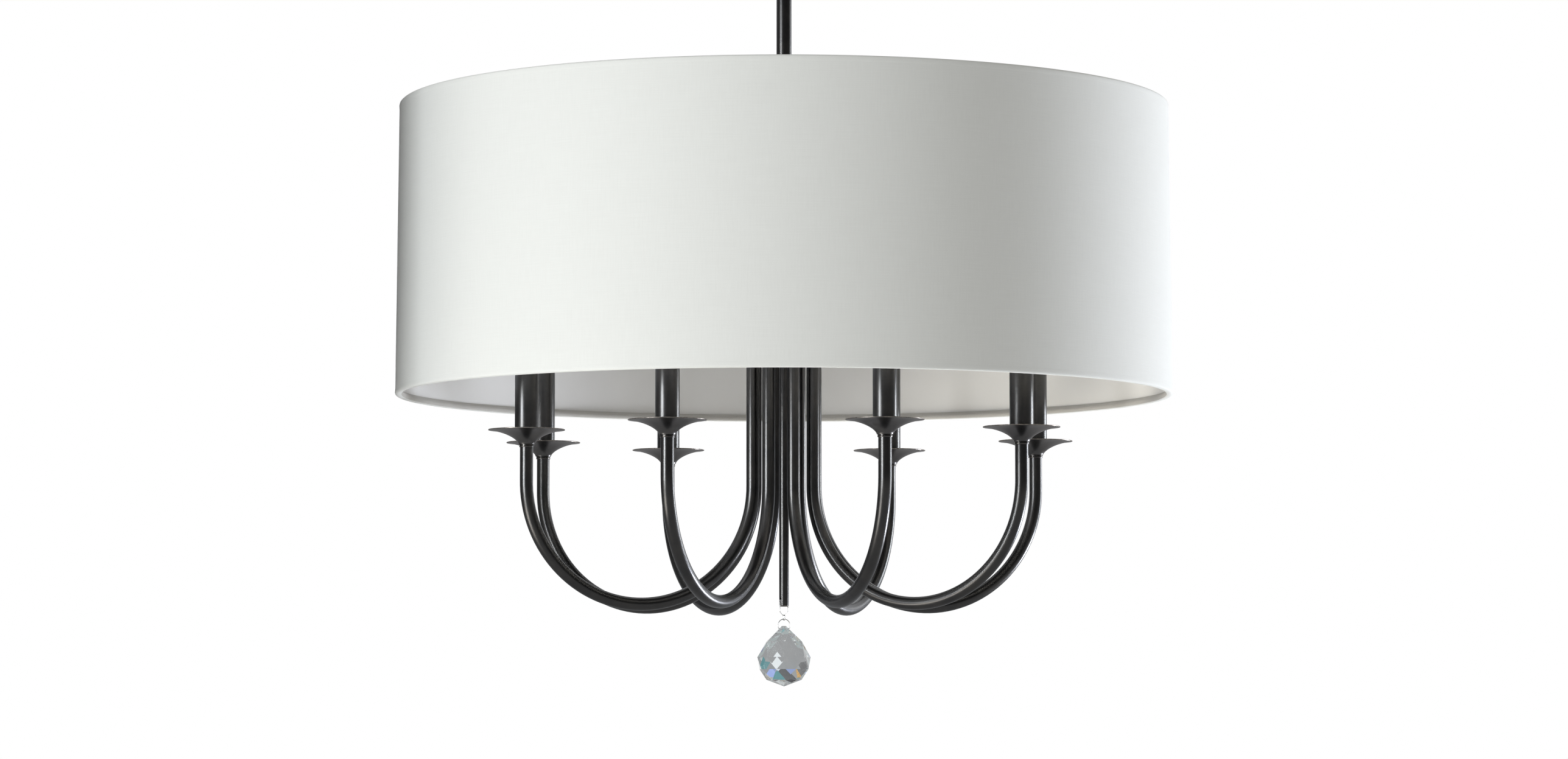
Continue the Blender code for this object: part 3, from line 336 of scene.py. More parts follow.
def addPiece(name, mesh, body, nodes, finish=None):
    # links a finished mesh, makes it stand for its CAD nodes and ride with their body
    thing = bpy.data.objects.new(name, mesh)
    bpy.context.scene.collection.objects.link(thing)
    if finish:
        mesh.materials.clear()
        mesh.materials.append(finish)
    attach(thing, body)
    if nodes:
        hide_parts(*nodes)


def newMesh(name, bm):
    # the bmesh becomes a plain mesh and is freed
    mesh = bpy.data.meshes.new(name)
    bm.to_mesh(mesh)
    bm.free()
    return mesh


def softened(mesh, degrees=40):
    mesh.shade_smooth()
    mesh.set_sharp_from_angle(angle=math.radians(degrees))
    return mesh


def onCircle(radius, angle, height=0.0):
    return Vector((radius * math.cos(angle), radius * math.sin(angle), height))


def roundedCorners(points, radius, steps=4, closed=True):
    # the same outline with each corner cut by a small arc, which takes less than half of a side
    made = []
    most = 0.45
    count = len(points)
    for k, corner in enumerate(points):
        here = Vector(corner)
        back = Vector(points[k - 1]) - here
        ahead = Vector(points[(k + 1) % count]) - here
        reach = min(radius, back.length * most, ahead.length * most)
        isEnd = not closed and k in (0, count - 1)
        if isEnd or here.x == 0 or reach == 0:
            made.append(here)
            continue
        start = here + back.normalized() * reach
        end = here + ahead.normalized() * reach
        for step in range(steps + 1):
            t = step / steps
            made.append(start * (1 - t) ** 2 + here * (2 * t * (1 - t)) + end * t ** 2)
    return [(p.x, p.y) for p in made]


def latheMesh(name, outline, sides, closed=True, uvHeights=None, wave=None):
    # spins (radius, height) points about the z axis; points on the axis become one vertex
    bm = bmesh.new()
    rings = []
    for index, (radius, height) in enumerate(outline):
        if radius <= 1e-7:
            rings.append([bm.verts.new((0, 0, height))])
            continue
        ring = []
        for k in range(sides):
            angle = fullTurn * k / sides
            out, up = wave(index, angle) if wave else (0, 0)
            ring.append(bm.verts.new(onCircle(radius + out, angle, height + up)))
        rings.append(ring)
    pairs = list(zip(range(len(rings) - 1), range(1, len(rings))))
    if closed:
        pairs.append((len(rings) - 1, 0))
    cloth = bm.loops.layers.uv.new("cloth") if uvHeights else None
    for low, high in pairs:
        first, second = rings[low], rings[high]
        if len(first) == 1 and len(second) == 1:
            continue
        for k in range(sides):
            after = (k + 1) % sides
            if len(first) == 1:
                corners = [(first[0], k + 0.5, low), (second[after], k + 1, high), (second[k], k, high)]
            elif len(second) == 1:
                corners = [(first[k], k, low), (first[after], k + 1, low), (second[0], k + 0.5, high)]
            else:
                corners = [(first[k], k, low), (first[after], k + 1, low),
                           (second[after], k + 1, high), (second[k], k, high)]
            face = bm.faces.new([corner[0] for corner in corners])
            if cloth:
                for loop, (vert, column, row) in zip(face.loops, corners):
                    loop[cloth].uv = (column / sides, uvHeights[row])
    bmesh.ops.recalc_face_normals(bm, faces=bm.faces)
    return softened(newMesh(name, bm))


def joinMeshes(name, meshes):
    bm = bmesh.new()
    for mesh in meshes:
        bm.from_mesh(mesh)
    made = newMesh(name, bm)
    for mesh in meshes:
        for used in mesh.materials:
            if used and used.name not in made.materials:
                made.materials.append(used)
    made.set_sharp_from_angle(angle=math.radians(40))
    return made


def ringOutline(inner, outer, low, high, corner=0.0004):
    return roundedCorners([(inner, low), (outer, low), (outer, high), (inner, high)], corner)


def markWear(mesh, amount):
    # amount is a function of a vertex place; the bronze shows bare metal by it
    layer = mesh.attributes.new("wear", "FLOAT", "POINT")
    for vert in mesh.vertices:
        layer.data[vert.index].value = amount(vert.co)


def middleOf(node):
    low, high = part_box(node)
    return (low + high) / 2


# Geometry node trees


def geometryTree(name, inputs):
    tree = bpy.data.node_groups.new(name, "GeometryNodeTree")
    tree.interface.new_socket("Geometry", in_out="INPUT", socket_type="NodeSocketGeometry")
    for label, kind in inputs:
        tree.interface.new_socket(label, in_out="INPUT", socket_type="NodeSocket" + kind)
    tree.interface.new_socket("Geometry", in_out="OUTPUT", socket_type="NodeSocketGeometry")
    return tree, tree.nodes.new("NodeGroupInput").outputs


def closeTree(tree, geometry, finish):
    # every tree ends in real geometry with its finish on it
    solid = addNode(tree, "GeometryNodeRealizeInstances", {"Geometry": geometry}).outputs["Geometry"]
    painted = addNode(tree, "GeometryNodeSetMaterial", {"Geometry": solid, "Material": finish})
    addNode(tree, "NodeGroupOutput", {"Geometry": painted.outputs["Geometry"]})
    return tree


def meshFromTree(tree, base, values):
    # runs a tree on a base mesh and gives back the plain mesh that it makes
    carrier = bpy.data.objects.new(tree.name, base)
    bpy.context.scene.collection.objects.link(carrier)
    step = carrier.modifiers.new(tree.name, "NODES")
    step.node_group = tree
    for item in tree.interface.items_tree:
        if item.item_type == "SOCKET" and item.in_out == "INPUT" and item.name in values:
            step[item.identifier] = values[item.name]
    seen = bpy.context.evaluated_depsgraph_get()
    mesh = bpy.data.meshes.new_from_object(carrier.evaluated_get(seen))
    carrier.modifiers.remove(step)
    bpy.data.objects.remove(carrier)
    return mesh


def pointMesh(name, places, turns=None):
    mesh = bpy.data.meshes.new(name)
    mesh.from_pydata(places, [], [])
    turning = mesh.attributes.new("turn", "FLOAT", "POINT")
    for index in range(len(places)):
        turning.data[index].value = turns[index] if turns else 0.0
    return mesh


def pathMesh(name, places, closed):
    edges = [(k, k + 1) for k in range(len(places) - 1)]
    if closed:
        edges.append((len(places) - 1, 0))
    mesh = bpy.data.meshes.new(name)
    mesh.from_pydata(places, edges, [])
    return mesh


def onPoints(tree, points, instance):
    turn = addNode(tree, "GeometryNodeInputNamedAttribute", {"Name": "turn"}, data_type="FLOAT")
    spin = addNode(tree, "ShaderNodeCombineXYZ", {"Z": turn.outputs["Attribute"]}).outputs["Vector"]
    sockets = {"Points": points, "Instance": instance, "Rotation": spin}
    return addNode(tree, "GeometryNodeInstanceOnPoints", sockets).outputs["Instances"]


def placedAt(tree, geometry, x, y, z):
    place = addNode(tree, "ShaderNodeCombineXYZ", {"X": x, "Y": y, "Z": z}).outputs["Vector"]
    sockets = {"Geometry": geometry, "Position": place}
    return addNode(tree, "GeometryNodeSetPosition", sockets).outputs["Geometry"]


def tubeAlong(tree, mesh, radius, sides):
    path = addNode(tree, "GeometryNodeMeshToCurve", {"Mesh": mesh}).outputs["Curve"]
    section = addNode(tree, "GeometryNodeCurvePrimitiveCircle", {"Resolution": sides, "Radius": radius})
    sockets = {"Curve": path, "Profile Curve": section.outputs["Curve"], "Fill Caps": True}
    return addNode(tree, "GeometryNodeCurveToMesh", sockets).outputs["Mesh"]


def bentTubeTree():
    # a tube down a leg, round half a circle and up a shorter leg, set at every point of the base mesh
    inputs = [("Tube radius", "Float"), ("Bend radius", "Float"), ("Inner leg", "Float"),
              ("Outer leg", "Float"), ("Bend height", "Float"), ("Steps", "Int"), ("Sides", "Int"),
              ("Finish", "Material")]
    tree, given = geometryTree("bentTube", inputs)

    def calc(operation, first, second=0.0):
        return mathNode(tree, operation, first, second)

    line = addNode(tree, "GeometryNodeMeshLine", {"Count": given["Steps"]}, mode="OFFSET").outputs["Mesh"]
    last = calc("SUBTRACT", given["Steps"], 1.0)
    share = calc("DIVIDE", addNode(tree, "GeometryNodeInputIndex").outputs["Index"], last)
    bow = calc("MULTIPLY", given["Bend radius"], math.pi)
    length = calc("ADD", calc("ADD", given["Inner leg"], bow), given["Outer leg"])
    pastLeg = calc("SUBTRACT", calc("MULTIPLY", share, length), given["Inner leg"])
    turned = calc("MAXIMUM", calc("DIVIDE", pastLeg, given["Bend radius"]), 0.0)
    angle = calc("MINIMUM", turned, math.pi)
    outward = calc("MULTIPLY", calc("SUBTRACT", 1.0, calc("COSINE", angle)), given["Bend radius"])
    dip = calc("MULTIPLY", calc("SINE", angle), given["Bend radius"])
    innerRise = calc("MAXIMUM", calc("MULTIPLY", pastLeg, -1.0), 0.0)
    outerRise = calc("MAXIMUM", calc("SUBTRACT", pastLeg, bow), 0.0)
    rise = calc("SUBTRACT", calc("ADD", innerRise, outerRise), dip)
    bent = placedAt(tree, line, outward, 0.0, calc("ADD", given["Bend height"], rise))
    tube = tubeAlong(tree, bent, given["Tube radius"], given["Sides"])
    return closeTree(tree, onPoints(tree, given["Geometry"], tube), given["Finish"])


def repeatTree():
    # one turned piece set at every point of the base mesh
    tree, given = geometryTree("repeatOnPoints", [("Piece", "Object"), ("Finish", "Material")])
    piece = addNode(tree, "GeometryNodeObjectInfo", {"Object": given["Piece"]}).outputs["Geometry"]
    return closeTree(tree, onPoints(tree, given["Geometry"], piece), given["Finish"])


def sweepTree():
    # a round wire along the edges of the base mesh
    inputs = [("Wire radius", "Float"), ("Sides", "Int"), ("Finish", "Material")]
    tree, given = geometryTree("sweptWire", inputs)
    tube = tubeAlong(tree, given["Geometry"], given["Wire radius"], given["Sides"])
    return closeTree(tree, tube, given["Finish"])


def screwShellTree(around=33, along=41, seam=0.00001):
    # a thin shell rolled with a screw thread: a grid whose place follows the thread's rule
    inputs = [("Radius", "Float"), ("Depth", "Float"), ("Pitch", "Float"), ("Thread height", "Float"),
              ("Top", "Float"), ("Finish", "Material")]
    tree, given = geometryTree("screwShell", inputs)

    def calc(operation, first, second=0.0, third=None):
        return mathNode(tree, operation, first, second, third)

    sockets = {"Size X": 1.0, "Size Y": 1.0, "Vertices X": around, "Vertices Y": along}
    grid = addNode(tree, "GeometryNodeMeshGrid", sockets).outputs["Mesh"]
    spot = splitVector(tree, addNode(tree, "GeometryNodeInputPosition").outputs["Position"])
    angle = calc("MULTIPLY", spot["X"], fullTurn)
    down = calc("MULTIPLY", calc("SUBTRACT", spot["Y"], 0.5), given["Depth"])
    turns = calc("MULTIPLY", calc("DIVIDE", down, given["Pitch"]), fullTurn)
    wave = calc("SINE", calc("ADD", turns, angle))
    radius = calc("MULTIPLY_ADD", wave, given["Thread height"], given["Radius"])
    x = calc("MULTIPLY", radius, calc("COSINE", angle))
    y = calc("MULTIPLY", radius, calc("SINE", angle))
    shell = placedAt(tree, grid, x, y, calc("ADD", down, given["Top"]))
    sockets = {"Geometry": shell, "Distance": seam}
    merged = addNode(tree, "GeometryNodeMergeByDistance", sockets).outputs["Geometry"]
    inward = addNode(tree, "GeometryNodeFlipFaces", {"Mesh": merged}).outputs["Mesh"]
    return closeTree(tree, onPoints(tree, given["Geometry"], inward), given["Finish"])


bentTube = bentTubeTree()
repeatPiece = repeatTree()
sweptWire = sweepTree()
screwShell = screwShellTree()


def repeated(name, mesh, places, turns, finish):
    # copies one mesh to all the places in one plain mesh
    source = bpy.data.objects.new(name + "Source", mesh)
    made = meshFromTree(repeatPiece, pointMesh(name, places, turns), {"Piece": source, "Finish": finish})
    bpy.data.objects.remove(source)
    made.name = name
    return made


print("node trees made")


# Ceiling end: canopy and its cap nuts


canopySizes = {"radius": 0.0635, "edge": 0.0125, "wall": 0.0012, "bore": 0.0055, "sides": 128,
               "nutRadius": 0.0050, "nutSkirt": 0.0030, "nutChamfer": 0.0004, "nutSteps": 8, "nutSides": 40}


def domeOutline(radius, top, bottom, edge, wall, bore, steps=12, lip=0.0004):
    # outline of a spun cover; top is the closed side, and bottom the open one
    way = 1 if top > bottom else -1
    middle = radius - edge
    small = edge - wall
    outer = [(radius - lip, bottom), (radius, bottom + way * lip)]
    inner = []
    for k in range(steps + 1):
        angle = quarterTurn * k / steps
        outer.append((middle + edge * math.cos(angle), top - way * (edge - edge * math.sin(angle))))
        inner.append((middle + small * math.cos(angle), top - way * (edge - small * math.sin(angle))))
    return outer + [(bore, top), (bore, top - way * wall)] + inner[::-1] + [(radius - wall, bottom)]


def buildCeilingEnd():
    s = canopySizes
    low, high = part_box("canopy")
    outline = domeOutline(s["radius"], low.z, high.z, s["edge"], s["wall"], s["bore"])
    cover = latheMesh("canopyCover", outline, s["sides"])
    addPiece("canopyCover", cover, "ceiling_end", ["canopy"], bronze)
    low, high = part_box("cap_nut_1")
    skirt, chamfer = high.z - s["nutSkirt"], s["nutChamfer"]
    outline = [(0, high.z), (s["nutRadius"] - chamfer, high.z), (s["nutRadius"], high.z - chamfer)]
    for k in range(s["nutSteps"]):
        angle = quarterTurn * k / s["nutSteps"]
        outline.append((s["nutRadius"] * math.cos(angle), skirt - (skirt - low.z) * math.sin(angle)))
    outline.append((0, low.z))
    nut = latheMesh("capNut", outline, s["nutSides"], closed=False)
    nodes = ["cap_nut_1", "cap_nut_2"]
    places = [(middleOf(node).x, 0, 0) for node in nodes]
    addPiece("capNuts", repeated("capNuts", nut, places, None, bronze), "ceiling_end", nodes)


buildCeilingEnd()
print("ceiling end made")


# Swivel: fork, pin and tongue


swivelSizes = {"collar": 0.012, "collarHigh": 0.005, "collarRound": 0.0006, "stub": 0.00475,
               "earWidth": 0.0140, "earThick": 0.0036, "earRoot": 0.001, "earRound": 0.0004,
               "eyeThick": 0.0080, "eyeWidth": 0.0134, "gap": 0.0003, "pin": 0.0025, "pinHead": 0.0045,
               "pinCrown": 0.7, "headHigh": 0.002, "headEdge": 0.0007, "pinRound": 0.0003,
               "shoulder": 0.0075, "shoulderDrop": 0.010, "shoulderRound": 0.0008,
               "sides": 64, "pinSides": 40}


def earMesh(name, xLow, xHigh, halfWidth, root, pivotHeight, steps=24):
    # a flat ear with a round end about the pin, its edges softened
    points = [Vector((0, halfWidth, root))]
    way = -1 if root > pivotHeight else 1
    for k in range(steps + 1):
        angle = way * math.pi * k / steps
        points.append(Vector((0, halfWidth * math.cos(angle), pivotHeight + halfWidth * math.sin(angle))))
    points.append(Vector((0, -halfWidth, root)))
    bm = bmesh.new()
    side = bm.faces.new([bm.verts.new(p + Vector((xLow, 0, 0))) for p in points])
    grown = bmesh.ops.extrude_face_region(bm, geom=[side])
    moved = [item for item in grown["geom"] if isinstance(item, bmesh.types.BMVert)]
    bmesh.ops.translate(bm, verts=moved, vec=(xHigh - xLow, 0, 0))
    rims = [edge for edge in bm.edges if abs(edge.verts[0].co.x - edge.verts[1].co.x) < 1e-7]
    bmesh.ops.bevel(bm, geom=rims, offset=swivelSizes["earRound"], segments=3, affect="EDGES", profile=0.5)
    bmesh.ops.recalc_face_normals(bm, faces=bm.faces)
    return softened(newMesh(name, bm))


def buildSwivel():
    s = swivelSizes
    pivot = frame["joints"][0]["pos_m"][2]
    low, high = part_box("swivel_fork")
    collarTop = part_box("canopy")[0].z - s["gap"]
    collarLow = collarTop - s["collarHigh"]
    outline = [(0, collarLow), (s["collar"], collarLow), (s["collar"], collarTop), (s["stub"], collarTop),
               (s["stub"], high.z), (0, high.z)]
    outline = roundedCorners(outline, s["collarRound"], closed=False)
    parts = [latheMesh("forkCollar", outline, s["sides"], closed=False)]
    inside = s["eyeThick"] / 2 + s["gap"]
    for side in (-1, 1):
        near, far = sorted((side * inside, side * (inside + s["earThick"])))
        parts.append(earMesh("forkEar", near, far, s["earWidth"] / 2, collarLow + s["earRoot"], pivot))
    addPiece("swivelFork", joinMeshes("swivelFork", parts), "swivel", ["swivel_fork"], bronze)
    # the pin has the same head at both ends
    half = inside + s["earThick"] + s["gap"]
    crown = [(s["pin"], half), (s["pinHead"], half), (s["pinHead"], half + s["headEdge"]),
             (s["pinHead"] * s["pinCrown"], half + s["headHigh"]), (0, half + s["headHigh"])]
    outline = [(radius, -along) for radius, along in crown[::-1]] + crown
    outline = roundedCorners(outline, s["pinRound"], closed=False)
    pin = latheMesh("swivelPin", outline, s["pinSides"], closed=False)
    pin.transform(Matrix.Translation((0, 0, pivot)) @ Matrix.Rotation(quarterTurn, 4, "Y"))
    addPiece("swivelPin", pin, "swivel", ["swivel_pin"], plated)
    shoulderTop = pivot - s["shoulderDrop"]
    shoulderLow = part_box("stem")[1].z + s["gap"]
    outline = [(0, shoulderLow), (s["shoulder"], shoulderLow), (s["shoulder"], shoulderTop), (0, shoulderTop)]
    outline = roundedCorners(outline, s["shoulderRound"], closed=False)
    halfEye = s["eyeThick"] / 2
    parts = [latheMesh("tongueFoot", outline, s["sides"], closed=False),
             earMesh("tongueEye", -halfEye, halfEye, s["eyeWidth"] / 2, shoulderTop - s["earRoot"], pivot)]
    tongue = joinMeshes("swivelTongue", parts)
    addPiece("swivelTongue", tongue, "light", ["swivel_tongue"], bronze)


buildSwivel()
print("swivel made")


# Stem, shade nut, column, hub cover and hub plate


hubSizes = {"stem": 0.0075, "stemRound": 0.0006, "nut": 0.0125, "nutRound": 0.0014, "column": 0.011,
            "columnRound": 0.0007, "bore": 0.0051, "cover": 0.052, "coverEdge": 0.010, "coverWall": 0.0012,
            "plate": 0.0505, "plateHigh": 0.010, "plateRound": 0.0007, "sides": 64, "wideSides": 112}


def buildHub():
    s = hubSizes
    rings = (("stem", "stem", "stemTube"), ("shade_nut", "nut", "shadeNut"),
             ("column", "column", "columnTube"))
    for node, size, name in rings:
        low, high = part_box(node)
        outline = ringOutline(s["bore"], s[size], low.z, high.z, s[size + "Round"])
        addPiece(name, latheMesh(name, outline, s["sides"]), "light", [node], bronze)
    low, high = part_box("hub_cover")
    outline = domeOutline(s["cover"], high.z, low.z, s["coverEdge"], s["coverWall"], s["bore"])
    cover = latheMesh("hubCover", outline, s["wideSides"])
    addPiece("hubCover", cover, "light", ["hub_cover"], bronze)
    low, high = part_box("hub_plate")
    plateTop = low.z + s["plateHigh"]
    outline = [(s["bore"], low.z), (s["plate"], low.z), (s["plate"], plateTop), (s["column"], plateTop),
               (s["column"], high.z), (s["bore"], high.z)]
    plate = latheMesh("hubPlate", roundedCorners(outline, s["plateRound"]), s["wideSides"])
    addPiece("hubPlate", plate, "light", ["hub_plate"], bronze)


buildHub()
print("stem and hub made")


# Shade: cloth on a stiff liner, rolled hems, and the wire fitter


# inset is how far the cloth's face stays inside the CAD's widest reach
shadeSizes = {"inset": 0.0003, "linerThick": 0.0011, "rows": 14, "sides": 960, "seamWidth": 0.014,
              "seamThick": 0.0004, "hemHeight": 0.0075, "hemSides": 900, "puckers": 26, "finePuckers": 90,
              "wrinkle": 0.00022, "fineShare": 0.6, "pushUp": 0.4, "rowStep": 0.35, "fineRowStep": 0.2}
# a hem's outline in millimetres, each point as (inwards of the face, up from the lip or the edge)
hemLip = ((0.7, 0), (0.12, -0.1), (-0.02, -1.8))
hemRoll = ((0, 2.2), (0.3, 1.0), (1.1, 0.3), (2.6, 0), (4.5, 0.1), (6.3, 0.6), (7.5, 1.6), (7.9, 3.0),
           (7.4, 4.4), (5.8, 5.6), (3.8, 6.6))
hemFoot = ((3.1, -0.4), (2.8, 0), (2.3, -0.6))
# the tape that shows from here inwards is painted greyer, a painted shade
tapeStart = 5  # from this point of the roll inwards the tape shows
fitterSizes = {"wire": 0.0021, "wireSides": 14, "ringSteps": 240, "spokes": 3, "spokeStart": 90.0,
               "spokeRoot": 0.0159, "washer": 0.018, "washerBore": 0.0051, "washerThick": 0.0022,
               "washerSides": 64}


def shadeRadius(height):
    # outer face of the shade, which narrows a little to the top
    low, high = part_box("shade_bottom_hem")[0].z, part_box("shade_top_hem")[1].z
    wide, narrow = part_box("shade_bottom_hem")[1].x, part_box("shade_top_hem")[1].x
    return wide + (narrow - wide) * (height - low) / (high - low)


def buildShadeWall():
    s = shadeSizes
    low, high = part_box("shade_wall")
    count = s["rows"]
    heights = [low.z + (high.z - low.z) * k / count for k in range(count + 1)]
    outer = [(shadeRadius(z) - s["inset"], z) for z in heights]
    inner = [(r - s["linerThick"], z) for r, z in outer]
    outline = outer + inner[::-1]
    shares = [k / count for k in range(count + 1)]

    def seam(index, angle):
        # the cloth laps over itself at the back, and its upper edge ends in a small step
        away = ((angle - math.pi / 2 + math.pi) % fullTurn - math.pi) * low.x
        if index > count or not 0 <= away <= s["seamWidth"]:
            return 0, 0
        return s["seamThick"] * (0.5 + 0.5 * math.cos(math.pi * away / s["seamWidth"])), 0

    mesh = latheMesh("shadeWall", outline, s["sides"], uvHeights=shares + shares[::-1], wave=seam)
    addPiece("shadeWall", mesh, "light", ["shade_wall"], clothFace)
    mesh.materials.append(liner)
    for face in mesh.polygons:
        outward = Vector((face.center.x, face.center.y, 0)).normalized().dot(face.normal)
        face.material_index = 1 if outward < -0.2 else 0


def buildHem(name, node, edge, way):
    # folded tape round the wire: flat outside, rolled at the edge, slightly puckered inside
    s = shadeSizes
    lip = edge + way * s["hemHeight"]

    def around(radius, height, points):
        return [(radius - inward * millimetre, height + way * up * millimetre) for inward, up in points]

    face = shadeRadius(lip)
    outline = around(face - s["inset"], lip, hemLip) + around(shadeRadius(edge), edge, hemRoll)
    outline += around(face, lip, hemFoot)
    length = [0.0]
    for here, after in zip(outline, outline[1:]):
        length.append(length[-1] + math.dist(here, after))
    shares = [value / length[-1] for value in length]
    firstInner = len(hemLip) + tapeStart

    def pucker(index, angle):
        if index < firstInner:
            return 0, 0
        spot = onCircle(s["puckers"], angle, index * s["rowStep"] + way)
        fine = onCircle(s["finePuckers"], angle, index * s["fineRowStep"] + way)
        lift = (noise.noise(spot) + noise.noise(fine) * s["fineShare"]) * s["wrinkle"]
        return lift, lift * s["pushUp"] * way

    mesh = latheMesh(name, outline, s["hemSides"], uvHeights=shares, wave=pucker)
    mesh.set_sharp_from_angle(angle=math.radians(75))
    addPiece(name, mesh, "light", [node], clothHem)
    # the inner tape gets the greyer cloth, painted shade along the foot of the shade
    mesh.materials.append(hemTape)
    for face in mesh.polygons:
        face.material_index = 1 if face.index // s["hemSides"] >= firstInner else 0


def buildFitter():
    # top ring, spokes and washer
    s = fitterSizes
    low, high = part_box("shade_fitter")
    ringHeight = high.z - s["wire"]
    radius = high.x - s["wire"]
    values = {"Wire radius": s["wire"], "Sides": s["wireSides"], "Finish": plated}
    circle = [onCircle(radius, fullTurn * k / s["ringSteps"], ringHeight) for k in range(s["ringSteps"])]
    parts = [meshFromTree(sweptWire, pathMesh("fitterRing", circle, True), values)]
    halfThick = s["washerThick"] / 2
    middle = low.z + halfThick
    for k in range(s["spokes"]):
        angle = math.radians(s["spokeStart"]) + fullTurn * k / s["spokes"]
        ends = [onCircle(s["spokeRoot"], angle, middle), onCircle(radius, angle, ringHeight)]
        parts.append(meshFromTree(sweptWire, pathMesh("fitterSpoke", ends, False), values))
    outline = ringOutline(s["washerBore"], s["washer"], middle - halfThick, middle + halfThick)
    washer = latheMesh("fitterWasher", outline, s["washerSides"])
    washer.materials.append(plated)
    joined = joinMeshes("shadeFitter", parts + [washer])
    addPiece("shadeFitter", joined, "light", ["shade_fitter"], plated)


buildShadeWall()
buildHem("bottomHem", "shade_bottom_hem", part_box("shade_bottom_hem")[0].z, 1)
buildHem("topHem", "shade_top_hem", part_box("shade_top_hem")[1].z, -1)
buildFitter()
print("shade made")


# Arms with their collars, dishes, sleeves and sockets


armSizes = {"tube": 0.00635, "reach": 0.233, "hubRing": 0.032, "firstArm": 107.0, "armStep": 45.0,
            "steps": 110, "sides": 36, "plateGap": 0.0001, "dishGap": 0.0003, "collar": 0.0071,
            "collarHigh": 0.0024, "collarSides": 48, "collarWear": 0.2, "wornEdge": 0.0003}
# the collar's two beads in millimetres, each point as (inwards of the widest, up)
collarBeads = ((0.2, 0), (0, 0.3), (0, 0.9), (0.5, 1.2), (0, 1.5), (0, 2.1), (0.3, 2.4))
dishSizes = {"rim": 0.037, "neck": 0.0077, "wall": 0.0009, "flare": 1.6, "rimRound": 0.0002, "steps": 18,
             "sides": 96, "rimWear": 0.7}
sleeveSizes = {"radius": 0.01145, "wall": 0.0011, "sides": 64}
socketSizes = {"radius": 0.0100, "bodyHigh": 0.032, "round": 0.0003, "mouth": 0.0067, "mouthRound": 0.0002,
               "boreDeep": 0.025, "shell": 0.0063, "shellDepth": 0.018, "shellTop": 0.0035, "pitch": 0.0025,
               "thread": 0.00028, "contact": 0.0022, "contactHigh": 0.0022, "contactEdge": 0.0018,
               "contactFoot": 0.0002, "sides": 48, "contactSides": 24}


def armEnds():
    # an arm's outer end is under its sleeve; its root stands on the hub's ring
    ends = []
    for number, name in enumerate(armNames):
        angle = math.radians(armSizes["firstArm"] + armSizes["armStep"] * number)
        root = onCircle(armSizes["hubRing"], angle)
        end = middleOf("candle_sleeve_" + name)
        end.z = 0
        away = end - root
        ends.append((root, end, math.atan2(away.y, away.x)))
    return ends


def dishOutline():
    s = dishSizes
    low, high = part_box("drip_dish_1")
    width, rise = s["rim"] - s["neck"], high.z - low.z - s["wall"]
    outside, inside = [], []
    for k in range(s["steps"] + 1):
        angle = math.pi / 2 * k / s["steps"]
        inset = math.sin(angle) ** (2 / s["flare"])
        up = max(math.cos(angle), 0.0) ** (2 / s["flare"])
        radius = s["rim"] - width * inset
        outside.append((radius, low.z + rise * up))
        inside.append((radius - s["wall"] * inset, low.z + rise * up + s["wall"]))
    outside[-1] = (outside[-1][0], low.z)
    edge, inner = s["rim"], s["rim"] - s["rimRound"]
    rimEdge = [(inner, high.z), (edge, high.z - s["wall"] * 0.3), (edge, high.z - s["wall"] * 0.7),
               (inner, high.z - s["wall"])]
    return inside[::-1][:-1] + rimEdge + outside[1:]


def buildArms():
    s = armSizes
    ends = armEnds()
    places = [tuple(end) for root, end, turn in ends]
    turns = [turn for root, end, turn in ends]
    roots = pointMesh("armRoots", [tuple(root) for root, end, turn in ends], turns)
    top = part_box("hub_plate")[0].z - s["plateGap"]
    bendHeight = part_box("arm_1")[0].z + s["tube"] + s["reach"] / 2
    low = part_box("drip_dish_1")[0].z - s["dishGap"] - s["collarHigh"]
    values = {"Tube radius": s["tube"], "Bend radius": s["reach"] / 2, "Inner leg": top - bendHeight,
              "Outer leg": low - bendHeight, "Bend height": bendHeight, "Steps": s["steps"],
              "Sides": s["sides"], "Finish": bronze}
    tubes = softened(meshFromTree(bentTube, roots, values))
    addPiece("armTubes", tubes, "light", ["arm_" + name for name in armNames])
    edge, wornEdge = s["collar"], s["wornEdge"]
    beads = [(edge - inward * millimetre, low + up * millimetre) for inward, up in collarBeads]
    outline = [(0, low), (s["tube"], low)] + beads + [(0, low + s["collarHigh"])]
    collar = latheMesh("armCollar", outline, s["collarSides"], closed=False)
    markWear(collar, lambda place: s["collarWear"] if place.xy.length > edge - wornEdge else 0.0)
    addPiece("armCollars", repeated("armCollars", collar, places, turns, bronze), "light", [])
    buildDishes(places, turns)
    buildSleeves(places, turns)
    buildSockets(places, turns)


def buildDishes(places, turns):
    s = dishSizes
    dish = latheMesh("dripDish", dishOutline(), s["sides"])
    dish.set_sharp_from_angle(angle=math.radians(60))
    worn = s["rim"] - armSizes["wornEdge"]
    markWear(dish, lambda place: s["rimWear"] if place.xy.length > worn else 0.0)
    # the dishes' lighter bronze is painted light
    mesh = repeated("dripDishes", dish, places, turns, dishBronze)
    addPiece("dripDishes", mesh, "light", ["drip_dish_" + name for name in armNames])


def buildSleeves(places, turns):
    s = sleeveSizes
    low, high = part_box("candle_sleeve_1")
    outline = ringOutline(s["radius"] - s["wall"], s["radius"], low.z, high.z)
    mesh = repeated("candleSleeves", latheMesh("candleSleeve", outline, s["sides"]), places, turns, bronze)
    addPiece("candleSleeves", mesh, "light", ["candle_sleeve_" + name for name in armNames])


